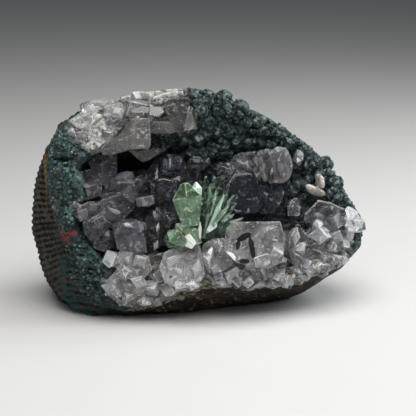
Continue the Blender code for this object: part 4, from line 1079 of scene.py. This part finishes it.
def makeLayers():
    matrices = [thinLayer(*row[:-2]) for row in layers + slabs]
    sets = [(lensTemplate(), matrices[:len(layers)]), (slabTemplate(), matrices[len(layers):])]
    piece, owners = tiled("curved_layers", sets)
    paintRows(piece, owners, layers + slabs)
    piece.data.polygons.foreach_set("use_smooth", owners < len(layers))
    settle(piece, ownFinishes["layer"], "apophyllite_large_crystal_crystal")
    print("layers", len(matrices))


def makePetals():
    piece, owners = tiled("stilbite_petals", [(lensTemplate(), [thinLayer(*row[:-2]) for row in petals])])
    paintRows(piece, owners, petals)
    piece.data.polygons.foreach_set("use_smooth", owners >= 0)
    settle(piece, ownFinishes["stilbite"], "stilbite_blades_crystal")
    print("petals", len(petals))


makeFan()
makeLayers()
makePetals()


# veils: thin cleavage sheets inside the crystals
veils = {"seed": 11, "largest": 4.2, "least": 0.7, "room": 5, "aligned": 0.45, "colour": (0.62, 0.62, 0.64),
         "dim": (0.55, 0.56, 0.60)}


def veilFinish():
    f = Finish("cleavage_veil")
    wisps = f.grain(1.5, 5, 0.65, None, 1.0)
    shade = f.mix(f.grain(0.8), veils["colour"], veils["dim"])
    return f.done(f.shader(Base_Color=shade, Roughness=0.25, Alpha=wisps.between(0.48, 0.66) * 0.4))


def enclosed(tree, point):  # True when every way out crosses the surface an odd number of times
    for way in (Vector((0, 0, 1)), Vector((1, 0, 0)), Vector((0, -1, 0))):
        start, crossings = point, 0
        while True:
            hit = tree.ray_cast(start, way)[0]
            if hit is None:
                break
            crossings += 1
            start = hit + way * 0.01 * mm
        if crossings % 2 == 0:
            return False
    return True


def makeVeils():
    pick = random.Random(veils["seed"])
    turns = []
    for piece in crystalPieces:
        if not any(part in piece.name for part in ("top", "front", "right", "cube")):
            continue
        tree = treeOf(piece)
        low, high = [Vector(c) for c in (piece.bound_box[0], piece.bound_box[6])]
        room = (high.x - low.x) * (high.z - low.z) / (mm * mm)
        for _ in range(int(room / veils["room"])):
            point = Vector(pick.uniform(a, b) for a, b in zip(low, high))
            _, normal, _, away = tree.find_nearest(point)
            if away < veils["least"] * mm or not enclosed(tree, point):
                continue
            size = min(away * 0.95, pick.uniform(1.0, veils["largest"]) * mm)
            flat = normal
            if pick.random() >= veils["aligned"]:
                flat = Vector((pick.gauss(0, 0.5), pick.gauss(0, 0.4), 1))
            shape = Matrix.Diagonal((size, size * pick.uniform(0.4, 1.0), size, 1))
            spin = turned(pick.uniform(0, math.tau), "Z")
            turns.append(Matrix.Translation(point) @ facing(flat) @ spin @ shape)
    bm = bmesh.new()
    bmesh.ops.create_circle(bm, cap_ends=True, segments=10, radius=1.0)
    bmesh.ops.inset_individual(bm, faces=list(bm.faces), thickness=0.4, depth=0.06)
    piece, _ = tiled("cleavage_veils", [(bm, turns)])
    settle(piece, veilFinish(), "apophyllite_front_blocks_crystal")
    print("veils", len(turns))


makeVeils()
